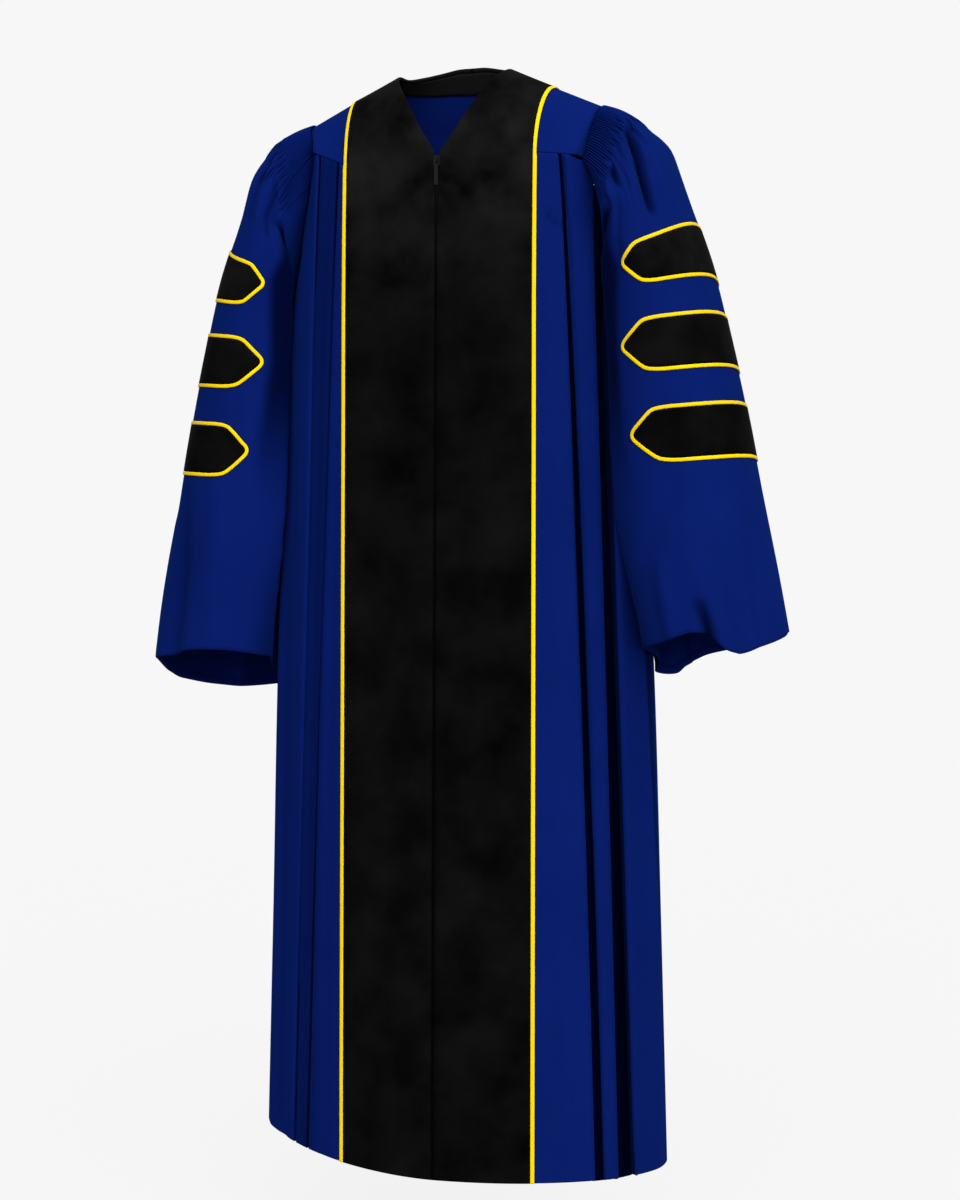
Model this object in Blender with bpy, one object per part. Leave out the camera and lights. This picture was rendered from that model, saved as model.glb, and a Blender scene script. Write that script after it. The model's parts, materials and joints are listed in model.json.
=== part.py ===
"""A doctoral style graduation gown, filled out as if worn.

X is the wearer's left, Y the back, Z up. The origin is where the gown hangs, on the shoulders.
Each cloth piece is a closed wall: an outer sheet of points, and an inner sheet behind it.
"""

import math

import bmesh
import bpy
import numpy as np

# Cloth, trim and seams, in metres.
WALL = 0.0016
VELVET_THICK = 0.0012
PIPING_WIDE = 0.0050
PIPING_HIGH = 0.0015
FACING_THICK = 0.0010
LIFT = 0.0003
SEAM = 0.0005
SLEEVE_SEAM = 0.0008

# Levels of the gown, measured up from the origin.
YOKE_Z = -0.130
# How far the outer end of the yoke seam lies above its inner end, for each side.
YOKE_OUTER_RISE = {1: -0.003, -1: 0.024}
STRAIGHT_Z = -0.450
HEM_Z = -1.440
HEM_BLEND_Z = -1.000
HEM_SIDE_RISE = {1: 0.005, -1: 0.035}
# How much wider each side stands than the sections of the table, below the arms.
SIDE_WIDER = {1: 0.0005, -1: -0.004}

# The velvet panel and the centre front.
CHEST_COLUMNS = (0.038, 0.082)
VELVET_X = 0.1250
PIPING_STEP = PIPING_WIDE + 0.0006
CORNER_X = 0.1835
GAP_TABLE = (
    # z, half of the opening between the fronts
    (-1.445, 0.0007),
    (-0.290, 0.0007),
    (-0.205, 0.0017),
    (-0.160, 0.0026),
    (-0.146, 0.0050),
    (-0.100, 0.0050),
)

# Level sections of the body: z, half width, front depth, back depth, squareness.
BODY = np.array(
    (
        (-1.445, 0.277, 0.138, 0.158, 2.05),
        (-1.100, 0.268, 0.134, 0.150, 2.15),
        (-0.800, 0.259, 0.129, 0.142, 2.35),
        (-0.460, 0.240, 0.123, 0.130, 2.80),
        (-0.300, 0.233, 0.121, 0.123, 3.00),
        (-0.170, 0.230, 0.118, 0.115, 3.00),
        (-0.100, 0.226, 0.115, 0.108, 3.00),
    )
)

# Pressed pleats of the fronts: x at the yoke and at the hem, how soon it moves across (1 is a straight
# line), then width and depth at both ends.
PLEATS = (
    # side, x_top, x_hem, path, wide_top, wide_hem, deep_top, deep_hem
    (-1, 0.1385, 0.1850, 1.00, 0.0036, 0.0056, 0.0040, 0.0130),
    (-1, 0.1670, 0.2080, 1.00, 0.0034, 0.0050, 0.0030, 0.0060),
    (1, 0.1574, 0.2080, 0.70, 0.0036, 0.0095, 0.0030, 0.0070),
    (1, 0.2000, 0.2360, 0.90, 0.0100, 0.0120, 0.0100, 0.0330),
)

# Soft folds of the back: place from the left side seam (0) to the right (1), half width, depth.
BACK_FOLDS = (
    (0.10, 0.030, 0.008),
    (0.215, 0.026, 0.016),
    (0.325, 0.022, 0.020),
    (0.43, 0.024, 0.017),
    (0.545, 0.022, 0.021),
    (0.655, 0.024, 0.018),
    (0.78, 0.026, 0.016),
    (0.90, 0.030, 0.009),
)

# Lines over the shoulder, from the yoke seam of the front to the centre back:
# the neck edge, the outer edge of the velvet, and the armhole or the back yoke seam.
TOP = np.array(
    (
        # neck                      velvet edge                outer edge
        (0.0050, -0.1160, -0.1300, 0.1250, -0.1040, -0.1300, 0.1835, -0.0750, -0.1210),
        (0.0052, -0.1160, -0.1240, 0.1252, -0.1030, -0.1120, 0.1870, -0.0700, -0.1040),
        (0.0300, -0.1080, -0.0830, 0.1265, -0.0960, -0.0830, 0.1915, -0.0620, -0.0860),
        (0.0560, -0.0880, -0.0380, 0.1285, -0.0800, -0.0560, 0.1955, -0.0520, -0.0710),
        (0.0700, -0.0650, -0.0150, 0.1310, -0.0560, -0.0360, 0.1985, -0.0370, -0.0605),
        (0.0760, -0.0350, -0.0020, 0.1320, -0.0220, -0.0255, 0.2000, -0.0120, -0.0550),
        (0.0740, 0.0000, 0.0030, 0.1290, 0.0120, -0.0260, 0.1990, 0.0150, -0.0580),
        (0.0620, 0.0300, 0.0130, 0.1150, 0.0480, -0.0370, 0.1950, 0.0430, -0.0750),
        (0.0420, 0.0460, 0.0210, 0.0850, 0.0740, -0.0500, 0.1860, 0.0740, -0.1200),
        (0.0200, 0.0520, 0.0265, 0.0420, 0.0850, -0.0570, 0.1050, 0.1010, -0.1500),
        (0.0000, 0.0530, 0.0270, 0.0000, 0.0880, -0.0590, 0.0000, 0.1080, -0.1580),
    )
).reshape(-1, 3, 3)
SHOULDER_SEAM = 5.4
BACK_CORNER = 8
CENTRE_BACK = 10

# The armhole below the two yoke corners, front to back through the underarm.
UNDERARM = np.array(
    (
        (0.1930, -0.0680, -0.1600),
        (0.2060, -0.0560, -0.2050),
        (0.2220, -0.0300, -0.2650),
        (0.2300, 0.0100, -0.2920),
        (0.2240, 0.0500, -0.2650),
        (0.2060, 0.0720, -0.2050),
        (0.1930, 0.0760, -0.1600),
    )
)
UNDERARM_MIDDLE = 3

# The sleeve where the head pleats are released: turn round the sleeve in degrees, then a point.
RELEASE = np.array(
    (
        (-156, 0.2320, 0.0750, -0.2950),
        (-132, 0.2180, 0.1050, -0.2350),
        (-114, 0.2180, 0.1150, -0.1950),
        (-98, 0.2220, 0.1120, -0.1600),
        (-60, 0.2350, 0.0850, -0.1120),
        (-25, 0.2440, 0.0350, -0.0860),
        (0, 0.2460, -0.0100, -0.0800),
        (30, 0.2435, -0.0480, -0.0850),
        (50, 0.2390, -0.0740, -0.0950),
        (68, 0.2330, -0.0920, -0.1200),
        (84, 0.2260, -0.1030, -0.1440),
        (98, 0.2200, -0.1080, -0.1680),
        (114, 0.2150, -0.1070, -0.2000),
        (132, 0.2150, -0.0950, -0.2400),
        (156, 0.2290, -0.0600, -0.2980),
        (180, 0.2450, 0.0100, -0.3220),
    )
)

# Sections of the hanging sleeve, by the level of its outer side:
# outer x, inner x, front y, back y, then how far front, inner side and back lie below that level.
SLEEVE = np.array(
    (
        # level, outer, inner, front, back, drop_front, drop_inner, drop_back
        (-0.765, 0.438, 0.236, -0.122, 0.160, -0.010, -0.016, -0.016),
        (-0.680, 0.424, 0.219, -0.121, 0.152, -0.010, -0.014, -0.016),
        (-0.560, 0.403, 0.202, -0.119, 0.141, -0.011, -0.012, -0.016),
        (-0.482, 0.389, 0.197, -0.118, 0.136, -0.012, -0.012, -0.016),
        (-0.366, 0.364, 0.197, -0.118, 0.132, -0.015, -0.040, -0.016),
        (-0.249, 0.334, 0.192, -0.118, 0.130, -0.028, -0.111, -0.028),
        (-0.190, 0.313, 0.192, -0.117, 0.128, -0.052, -0.156, -0.050),
        (-0.118, 0.286, 0.200, -0.113, 0.122, -0.088, -0.217, -0.084),
    )
)
SLEEVE_SQUARE = 2.15
HEAD_BULGE = 0.003
BODY_CLEAR = 0.006
# How much higher or lower each cuff hangs, and how far in from the table each arm's outer side is.
SIDE_RISE = {1: 0.022, -1: -0.014}
SIDE_SHIFT = {1: 0.002, -1: 0.0075}

# How far the cuff's edge lies below its outer side at each turn, for each side.
CUFF_TURNS = (-180, -130, -90, -40, 0, 40, 90, 130, 180)
CUFF_DROP = {
    1: (-0.053, -0.064, -0.036, -0.014, 0.001, 0.014, 0.004, -0.012, -0.053),
    -1: (-0.032, -0.048, -0.060, -0.054, -0.018, 0.008, 0.006, -0.006, -0.032),
}

# Pointed velvet bars of the sleeves: level on the wearer's left arm and on the right, half height.
BARS = (
    # left, right, half
    (-0.249, -0.255, 0.0315),
    (-0.366, -0.371, 0.0315),
    (-0.482, -0.490, 0.0315),
)
TIP_TURN = 106.0
SHOULDER_TURN = 91.0
TIP_HALF = 0.0030
TIP_OUTER_TURN = 110.5
# The turn at which the bars' tips lie on each arm, by level.
TIP_LEVELS = {
    1: ((-0.560, 106.0), (-0.482, 109.5), (-0.366, 113.0), (-0.249, 101.5), (-0.190, 106.0)),
    -1: ((-0.560, 106.0), (-0.482, 100.5), (-0.366, 108.0), (-0.249, 99.0), (-0.190, 106.0)),
}

# Section of the bars' piping: place across its width, height as a part of the full one.
PIPING_SECTION = ((0, 0.0), (1, 0.0), (1, 0.75), (0.5, 1.0), (0, 0.75))

# Cartridge pleats: how many, how high, how far they run from the seam.
SLEEVE_FLUTES = 56
SLEEVE_FLUTE_TURN = 110.0
BACK_FLUTES = 70
FLUTE_HIGH = 0.0011
BACK_FLUTE_LONG = 0.050

# The zip.
ZIP_BOTTOM_Z = -0.800
TAPE_HALF = 0.012
TAPE_THICK = 0.0008
SLIDER_Z = -0.1352
SLIDER_SIZE = (0.0088, 0.0045, 0.0140)
CROWN_HALF = 0.0010
PULL_WIDE = 0.0056
PULL_LONG = 0.0330
PULL_THICK = 0.0010
EYE_HALF = 0.0016
EYE_LONG = 0.0052

COLOURS = {
    # name: colour, roughness, metallic
    "blue_satin": ((0.004, 0.013, 0.17, 1), 0.55, 0),
    "black_velvet": ((0.006, 0.006, 0.007, 1), 0.9, 0),
    "yellow_piping": ((1.0, 0.72, 0.0, 1), 0.5, 0),
    "black_facing": ((0.004, 0.004, 0.005, 1), 0.6, 0),
    "zip_tape_black": ((0.004, 0.004, 0.004, 1), 0.7, 0),
    "black_metal": ((0.012, 0.012, 0.013, 1), 0.35, 1),
}


def smooth_step(a, b, v):
    t = np.clip((v - a) / (b - a), 0, 1)
    return t * t * (3 - 2 * t)


def smooth_rows(keys, rows, at):
    """Values of a table at a key, on a smooth curve through its rows."""
    keys = np.asarray(keys, float)
    rows = np.asarray(rows, float)
    slopes = np.gradient(rows, keys, axis=0)
    i = int(np.clip(np.searchsorted(keys, at) - 1, 0, len(keys) - 2))
    h = keys[i + 1] - keys[i]
    t = (at - keys[i]) / h
    return (
        rows[i] * (1 + 2 * t) * (1 - t) ** 2
        + slopes[i] * h * t * (1 - t) ** 2
        + rows[i + 1] * t * t * (3 - 2 * t)
        + slopes[i + 1] * h * t * t * (t - 1)
    )


def unit(v):
    return v / np.maximum(np.linalg.norm(v, axis=-1, keepdims=True), 1e-12)


class Ring:
    """One level section of the body, from the centre front round the side to the centre back."""

    def __init__(self, z):
        self.wide, self.front, self.back, self.square = smooth_rows(BODY[:, 0], BODY[:, 1:], z)
        p = np.linspace(0, math.pi, 721)
        power = 2 / self.square
        depth = np.where(p < math.pi / 2, -self.front, self.back)
        self.x = self.wide * np.abs(np.sin(p)) ** power
        self.y = depth * np.abs(np.cos(p)) ** power
        self.s = np.append(0, np.cumsum(np.hypot(np.diff(self.x), np.diff(self.y))))
        self.side = self.s[360]
        self.end = self.s[-1]

    def of_x(self, x):
        """Distance round the front quarter to the point with this x."""
        return np.interp(x, self.x[:361], self.s[:361])

    def point(self, s):
        return np.interp(s, self.s, self.x), np.interp(s, self.s, self.y)

    def normal(self, s):
        ax, ay = self.point(s - 0.004)
        bx, by = self.point(s + 0.004)
        tangent = math.hypot(bx - ax, by - ay)
        return -(ay - by) / tangent, -(bx - ax) / tangent


RINGS = {}


def ring(z):
    key = round(float(z), 5)
    if key not in RINGS:
        RINGS[key] = Ring(key)
    return RINGS[key]


def yoke_z(x, side):
    start = VELVET_X + PIPING_STEP
    return YOKE_Z + YOKE_OUTER_RISE[side] * max(0.0, (x - start) / (CORNER_X - start))


def along(points, fraction):
    """The point a fraction of the way along a line of points."""
    steps = np.append(0, np.cumsum(np.linalg.norm(np.diff(points, axis=0), axis=1)))
    at = fraction * steps[-1]
    return np.array([np.interp(at, steps, points[:, k]) for k in range(3)])


def fine_line(points, per=8):
    keys = np.arange(len(points))
    spots = np.linspace(0, len(points) - 1, per * (len(points) - 1) + 1)
    return np.array([smooth_rows(keys, points, v) for v in spots])


TOP_KEYS = np.arange(len(TOP))


def top_lines(t, side=1):
    """Neck, velvet and outer points at a place over the shoulder."""
    lines = TOP[0] + (TOP[1] - TOP[0]) * t if t < 1 else smooth_rows(TOP_KEYS, TOP, t)
    lines = lines.copy()
    corner_shift = YOKE_Z + YOKE_OUTER_RISE[side] - TOP[0, 2, 2]
    lines[2, 2] += corner_shift * float(1 - smooth_step(0, 3.5, t))
    return lines


def lower_armhole(side):
    return fine_line(np.vstack([top_lines(0, side)[2], UNDERARM, TOP[BACK_CORNER, 2]]))


LOWER_ARMHOLE = {side: lower_armhole(side) for side in (1, -1)}
MIDDLE = 8 * (UNDERARM_MIDDLE + 1)
BACK_ARMHOLE = LOWER_ARMHOLE[1][MIDDLE:]
BACK_SEAM = np.array([top_lines(t)[2] for t in np.linspace(BACK_CORNER, CENTRE_BACK, 33)])


def remap(z_row, top, hem):
    """A standard level, stretched to a column's own top and hem."""
    if z_row > STRAIGHT_Z:
        part = (z_row - STRAIGHT_Z) / (YOKE_Z - STRAIGHT_Z)
        return STRAIGHT_Z + (top - STRAIGHT_Z) * part
    if z_row < HEM_BLEND_Z:
        part = (z_row - HEM_BLEND_Z) / (HEM_Z - HEM_BLEND_Z)
        return HEM_BLEND_Z + (hem - HEM_BLEND_Z) * part
    return z_row


def side_rise(side, x, wide):
    return HEM_SIDE_RISE[side] * min(1.0, abs(x) / wide) ** 1.7


def stand_out(point, side):
    """Moves a point of the body sideways, most at the side seam and not at all on the chest."""
    share = float(smooth_step(0.13, 0.25, abs(point[0])) * smooth_step(-0.34, -0.60, point[2]))
    return point + (side * SIDE_WIDER[side] * share, 0, 0)


ROWS = (-1.440, -1.200, -0.960, -0.760, -0.580, STRAIGHT_Z, -0.370, -0.300, -0.240, -0.185, YOKE_Z)


def front_columns(side):
    """Columns of one front: a place rule, and how deep the cloth is folded in there."""
    columns = [("gap", 0, 0, 0, 0, 1)]
    for x in (*CHEST_COLUMNS, VELVET_X, VELVET_X + PIPING_STEP):
        columns.append(("x", x, x, 0, 0, 1))
    last = columns[-1]
    for _, x0, x1, path, wide0, wide1, deep0, deep1 in [p for p in PLEATS if p[0] == side]:
        if x0 - last[1] > 0.02:
            columns.append(("x", (x0 + last[1]) / 2, (x1 + last[2]) / 2, 0, 0, path))
        for part, deep in ((-0.5, 0), (-0.3, 1), (0.3, 1), (0.5, 0)):
            columns.append(("x", x0 + part * wide0, x1 + part * wide1, deep * deep0, deep * deep1, path))
        last = columns[-1]
    count = 5 if last[1] < 0.19 else 4
    for k in range(1, count + 1):
        columns.append(("side", k / count, last[1], last[2], 0, last[5]))
    return columns


def front_s(column, z):
    """Where a front column crosses a level, as a distance from the centre front."""
    here = ring(z)
    kind, a, b, c, _, path = column
    down = max(0.0, (z - YOKE_Z) / (HEM_Z - YOKE_Z)) ** path
    if kind == "gap":
        table = np.array(GAP_TABLE)
        return here.of_x(np.interp(z, table[:, 0], table[:, 1]))
    if kind == "x":
        return here.of_x(a + (b - a) * down)
    start = here.of_x(b + (c - b) * down)
    return start + (here.side - SEAM / 2 - start) * a


def front_grid(side):
    """Outer points of one front, rows from the hem up."""
    columns = front_columns(side)
    reference = ring(-0.300)
    corner = reference.of_x(CORNER_X)
    grid = []
    for z_row in ROWS:
        row = []
        for column in columns:
            s_ref = front_s(column, -0.300)
            if s_ref <= corner:
                x_top = ring(YOKE_Z).point(front_s(column, YOKE_Z))[0]
                top = yoke_z(x_top, side) - SEAM / 2
                target = None
            else:
                part = (s_ref - corner) / (reference.side - corner)
                target = along(LOWER_ARMHOLE[side][: MIDDLE + 1], part)
                top = target[2]
            x_hem, _ = ring(HEM_Z).point(front_s(column, HEM_Z))
            hem = HEM_Z + side_rise(side, x_hem, ring(HEM_Z).wide)
            z = remap(z_row, top, hem)
            s = front_s(column, z)
            deep = 0.0
            if column[0] == "x":
                down = (z - YOKE_Z) / (HEM_Z - YOKE_Z)
                grow = float(smooth_step(0, 0.16, down))
                deep = column[3] + (column[4] - column[3]) * grow
            x, y = ring(z).point(s)
            nx, ny = ring(z).normal(s)
            point = np.array((x - nx * deep, y - ny * deep, z))
            if target is not None:
                x0, y0 = ring(top).point(front_s(column, top))
                shift = target - np.array((x0, y0, top))
                held = 1 - float(smooth_step(0, 0.16, top - z))
                point = point + shift * held
                if deep:
                    point[:2] += np.array((nx, ny)) * deep * held
            row.append(stand_out(point * (side, 1, 1), side))
        grid.append(row)
    return np.array(grid)


def top_row(t, side, outer_parts):
    """Points across the shoulder piece at a place along it, from the neck outwards."""
    neck, velvet, outer = top_lines(t, side)
    across = unit(outer - velvet)
    edge = velvet + across * PIPING_STEP
    first = ring(YOKE_Z)
    low_neck, low_velvet, low_outer = top_lines(0, side)
    parts = [(x - low_neck[0]) / (VELVET_X - low_neck[0]) for x in CHEST_COLUMNS]
    points = [neck]
    points += [neck + (velvet - neck) * p for p in parts]
    points += [velvet, edge]
    points += [edge + (outer - edge) * p for p in outer_parts]
    points.append(outer)
    fade = float(1 - smooth_step(0, 3, t))
    seam_fade = float(1 - smooth_step(0, 1.5, t))
    # The lowest row lies on the body section, and that curve fades out up the shoulder.
    low_edge = low_velvet + unit(low_outer - low_velvet) * PIPING_STEP
    base = [low_neck]
    base += [low_neck + (low_velvet - low_neck) * p for p in parts]
    base += [low_velvet, low_edge]
    base += [low_edge + (low_outer - low_edge) * p for p in outer_parts]
    for k, low in enumerate(base):
        _, y = first.point(first.of_x(low[0]))
        points[k] = points[k] + (0, (y - low[1]) * fade, (yoke_z(low[0], side) - low[2]) * seam_fade)
    return np.array(points) * (side, 1, 1)


OUTER_PARTS = (0.34, 0.67)


def yoke_grid(side):
    """Outer points of a front shoulder piece, rows from the yoke seam to the shoulder seam."""
    spots = [0.0, 0.5, 1.0, 1.6, 2.3, 3.0, 3.6, 4.2, 4.8, SHOULDER_SEAM - 0.007]
    grid = np.array([top_row(t, side, OUTER_PARTS) for t in spots])
    grid[0, :, 2] += SEAM / 2
    return grid


def yoke_back_grid():
    """Outer points of the back yoke, rows across from one shoulder seam to the other."""
    spots = [SHOULDER_SEAM + 0.007, 6.0, 6.5, 7.0, 7.5, 8.0, 8.4, 8.8, 9.3]
    rows = [top_row(t, 1, OUTER_PARTS) for t in spots]
    rows.append(top_row(CENTRE_BACK, 1, OUTER_PARTS))
    rows += [top_row(t, -1, OUTER_PARTS) for t in reversed(spots)]
    grid = np.array(rows)
    grid[:, -1, 2] += np.where(grid[:, -1, 2] < -0.110, SEAM, 0)
    return grid


def offsets(grid, closed=False):
    """Outward vectors that keep a wall's full thickness beside sharp folds."""
    if closed:
        left = grid - np.roll(grid, 1, axis=1)
        right = np.roll(grid, -1, axis=1) - grid
    else:
        right = np.diff(grid, axis=1)
        left = np.concatenate([right[:, :1], right], axis=1)
        right = np.concatenate([right, right[:, -1:]], axis=1)
    down = np.gradient(grid, axis=0)
    n1 = unit(np.cross(left, down))
    n2 = unit(np.cross(right, down))
    lean = np.clip((n1 * n2).sum(axis=2, keepdims=True), -0.3, 1)
    return (n1 + n2) / (1 + lean)


def outward(grid, closed=False, away=(0, 0, None)):
    """The same vectors, turned to point away from a vertical line or a centre."""
    out = offsets(grid, closed)
    centre = np.array([v if v is not None else 0 for v in away], float)
    flat = grid - centre
    if away[2] is None:
        flat = flat * (1, 1, 0)
    return out if (out * flat).sum() > 0 else -out


class Mesh:
    def __init__(self):
        self.points = []
        self.faces = []

    def row(self, points):
        start = len(self.points)
        self.points += [tuple(map(float, p)) for p in points]
        return list(range(start, len(self.points)))

    def strip(self, a, b, keys_a=None, keys_b=None, closed=False):
        """Faces between two rows. Rows with different counts are joined by their keys."""
        if len(a) == len(b):
            ends = len(a) if closed else len(a) - 1
            for k in range(ends):
                n = (k + 1) % len(a)
                self.faces.append((a[k], a[n], b[n], b[k]))
            return
        if closed:
            a, b = a + a[:1], b + b[:1]
            keys_a = np.append(keys_a, keys_a[0] + 360)
            keys_b = np.append(keys_b, keys_b[0] + 360)
        i = j = 0
        while i < len(a) - 1 or j < len(b) - 1:
            step_a = i < len(a) - 1
            if step_a and j < len(b) - 1:
                step_a = keys_a[i + 1] + keys_a[i] <= keys_b[j + 1] + keys_b[j]
            if step_a:
                self.faces.append((a[i], a[i + 1], b[j]))
                i += 1
            else:
                self.faces.append((a[i], b[j + 1], b[j]))
                j += 1

    def build(self, name, material, sharp=50):
        mesh = bpy.data.meshes.new(name)
        mesh.from_pydata(self.points, [], self.faces)
        work = bmesh.new()
        work.from_mesh(mesh)
        bmesh.ops.recalc_face_normals(work, faces=work.faces)
        bmesh.ops.triangulate(work, faces=work.faces)
        work.to_mesh(mesh)
        work.free()
        mesh.shade_smooth()
        mesh.set_sharp_from_angle(angle=math.radians(sharp))
        mesh.materials.append(material)
        obj = bpy.data.objects.new(name, mesh)
        bpy.context.scene.collection.objects.link(obj)
        return obj


def wall(name, outer, inner, material, sharp=50):
    """A closed wall between two sheets of rows with matching counts."""
    mesh = Mesh()
    out_rows = [mesh.row(r) for r in outer]
    in_rows = [mesh.row(r) for r in inner]
    for a, b in zip(out_rows[:-1], out_rows[1:]):
        mesh.strip(a, b)
    for a, b in zip(in_rows[:-1], in_rows[1:]):
        mesh.strip(b, a)
    mesh.strip(in_rows[0], out_rows[0])
    mesh.strip(out_rows[-1], in_rows[-1])
    for k in (0, -1):
        mesh.strip([r[k] for r in out_rows], [r[k] for r in in_rows])
    return mesh.build(name, material, sharp)


def make_materials():
    made = {}
    for name, (colour, rough, metal) in COLOURS.items():
        material = bpy.data.materials.new(name)
        material.use_nodes = True
        shader = material.node_tree.nodes["Principled BSDF"]
        shader.inputs["Base Color"].default_value = colour
        shader.inputs["Roughness"].default_value = rough
        shader.inputs["Metallic"].default_value = metal
        material.diffuse_color = colour
        made[name] = material
    return made


for old in list(bpy.data.objects):
    bpy.data.objects.remove(old, do_unlink=True)
MATERIAL = make_materials()
BLUE = MATERIAL["blue_satin"]

# Fronts, shoulder pieces, velvet panels and their piping, for each side.
FRONT, YOKE = {}, {}
for side, word in ((1, "left"), (-1, "right")):
    # The wearer's left is on +X.
    front = front_grid(side)
    wall_out = outward(front)
    wall_out[:, -1] = (side, 0, 0)
    seam = np.abs(front[-1, :, 0]) < CORNER_X
    wall_out[-1, seam] = unit(wall_out[-1, seam] * (1, 1, 0))
    wall("front_" + word, front, front - wall_out * WALL, BLUE)
    yoke = yoke_grid(side)
    yoke_out = outward(yoke, away=(0.1 * side, 0, -0.2))
    yoke_out[0] = unit(yoke_out[0] * (1, 1, 0))
    wall("yoke_" + word, yoke, yoke - yoke_out * WALL, BLUE)

    # The velvet lies on both, so its rows run on from one to the other.
    panel = np.concatenate([front[:-1, :5], yoke[:, :5]])
    panel_out = outward(panel, away=(0.1 * side, 0, -0.6))
    over = panel.copy()
    over[:, 3] += unit(over[:, 2] - over[:, 3]) * SEAM / 2
    cut = over[:, :4]
    lift = panel_out[:, :4]
    low, high = cut + lift * LIFT, cut + lift * (LIFT + VELVET_THICK)
    wall("velvet_" + word, high, low, MATERIAL["black_velvet"])
    edge_in, edge_out = panel[:, 3], panel[:, 4]
    across = unit(edge_out - edge_in)
    lift = panel_out[:, 3:5]
    a = edge_in + across * SEAM / 2
    b = edge_out - across * SEAM / 2
    middle = (a + b) / 2
    base = np.stack([a, middle, b], axis=1)
    rise = np.stack([lift[:, 0], (lift[:, 0] + lift[:, 1]) / 2, lift[:, 1]], axis=1)
    crown = np.array((0.75, 1.0, 0.75))[None, :, None] * PIPING_HIGH
    wall("piping_" + word, base + rise * (LIFT + crown), base + rise * LIFT, MATERIAL["yellow_piping"])
    FRONT[side], YOKE[side] = front, yoke

# The back yoke, with the velvet band, its piping and the facing inside the neck.
yoke = yoke_back_grid()
yoke_out = outward(yoke, away=(0, 0, -0.2))
wall("yoke_back", yoke, yoke - yoke_out * WALL, BLUE)
cut = yoke[:, :4].copy()
cut[:, 3] += unit(cut[:, 2] - cut[:, 3]) * SEAM / 2
lift = yoke_out[:, :4]
wall("velvet_back", cut + lift * (LIFT + VELVET_THICK), cut + lift * LIFT, MATERIAL["black_velvet"])
edge_in, edge_out = yoke[:, 3], yoke[:, 4]
across = unit(edge_out - edge_in)
a = edge_in + across * SEAM / 2
b = edge_out - across * SEAM / 2
lift = yoke_out[:, 3:5]
base = np.stack([a, (a + b) / 2, b], axis=1)
rise = np.stack([lift[:, 0], (lift[:, 0] + lift[:, 1]) / 2, lift[:, 1]], axis=1)
crown = np.array((0.75, 1.0, 0.75))[None, :, None] * PIPING_HIGH
wall("piping_back", base + rise * (LIFT + crown), base + rise * LIFT, MATERIAL["yellow_piping"])
inner = yoke[1:-1, :2] - yoke_out[1:-1, :2] * (WALL + LIFT)
deeper = inner - yoke_out[1:-1, :2] * FACING_THICK
wall("neck_facing", inner, deeper, MATERIAL["black_facing"])


# The back panel. A column is named by its place from side seam to side seam.
BACK_STEPS = 40
CORNER_PART = 0.30


def back_top(place):
    """Top point of a back column, on the armhole or on the yoke seam."""
    side = 1 if place >= 0.5 else -1
    part = 1 - abs(place - 0.5) * 2
    if part < CORNER_PART:
        point = along(BACK_ARMHOLE, part / CORNER_PART)
    else:
        point = along(BACK_SEAM, (part - CORNER_PART) / (1 - CORNER_PART)).copy()
        point[2] -= SEAM / 2
    return point * (side, 1, 1)


def fold_depth(place):
    return sum(d * math.exp(-(((place - at) / w) ** 2)) for at, w, d in BACK_FOLDS)


def back_point(place, z_row, below=None):
    """A point of the back, at a standard level or a given way below its top."""
    side = 1 if place >= 0.5 else -1
    part = 1 - abs(place - 0.5) * 2
    target = back_top(place)
    lower = target[2] - BACK_FLUTE_LONG
    hem = HEM_Z + HEM_SIDE_RISE[side] * (1 - part) ** 3
    z = target[2] - below if below is not None else remap(z_row, lower, hem)
    here = ring(z)
    s = here.side + SEAM / 2 + (here.end - here.side - SEAM / 2) * part
    x, y = here.point(s)
    nx, ny = here.normal(min(s, here.end - 0.004))
    if part > 0.999:
        nx, ny = 0.0, 1.0
    top = ring(target[2])
    s0 = top.side + SEAM / 2 + (top.end - top.side - SEAM / 2) * part
    x0, y0 = top.point(s0)
    held = 1 - float(smooth_step(0, 0.20, target[2] - z))
    deep = fold_depth(place) * float(smooth_step(0.03, 0.45, target[2] - z))
    point = np.array(((x - nx * deep) * side, y - ny * deep, z))
    return stand_out(point + (target - np.array((x0 * side, y0, target[2]))) * held, side)


places = np.linspace(0, 1, BACK_STEPS + 1)
fluted = np.linspace(CORNER_PART / 2 + 0.004, 1 - CORNER_PART / 2 - 0.004, 2 * BACK_FLUTES + 1)
fine = np.concatenate([places[places < fluted[0] - 0.004], fluted, places[places > fluted[-1] + 0.004]])
high = np.array([1.0 if k % 2 else 0.0 for k in range(len(fluted))])
raised = np.zeros(len(fine))
first = int((fine < fluted[0] - 1e-9).sum())
raised[first : first + len(fluted)] = high
BELOW = (0.0, 0.024, BACK_FLUTE_LONG)
back_rows = ROWS[:-1]
plain = [[back_point(p, None, d) for p in places] for d in BELOW]
plain = np.array(plain + [[back_point(p, z) for p in places] for z in reversed(back_rows)])
back_out = outward(plain)
back_out[:, 0] = (-1, 0, 0)
back_out[:, -1] = (1, 0, 0)
top_fine = np.array([[back_point(p, None, d) for p in fine] for d in BELOW])
fine_out = outward(top_fine)
amount = np.array((1.0, 1.0, 0.8))[:, None, None] * FLUTE_HIGH * raised[None, :, None]
top_fine = top_fine + fine_out * amount
mesh = Mesh()
outer_rows = [mesh.row(r) for r in top_fine] + [mesh.row(r) for r in plain[3:]]
inner_plain = plain - back_out * WALL
inner_rows = [mesh.row(r) for r in inner_plain[(0, 2, *range(3, len(plain))), :]]
for k, (a, b) in enumerate(zip(outer_rows[:-1], outer_rows[1:])):
    mesh.strip(a, b, fine if k <= 2 else places, places)
for a, b in zip(inner_rows[:-1], inner_rows[1:]):
    mesh.strip(b, a)
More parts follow.
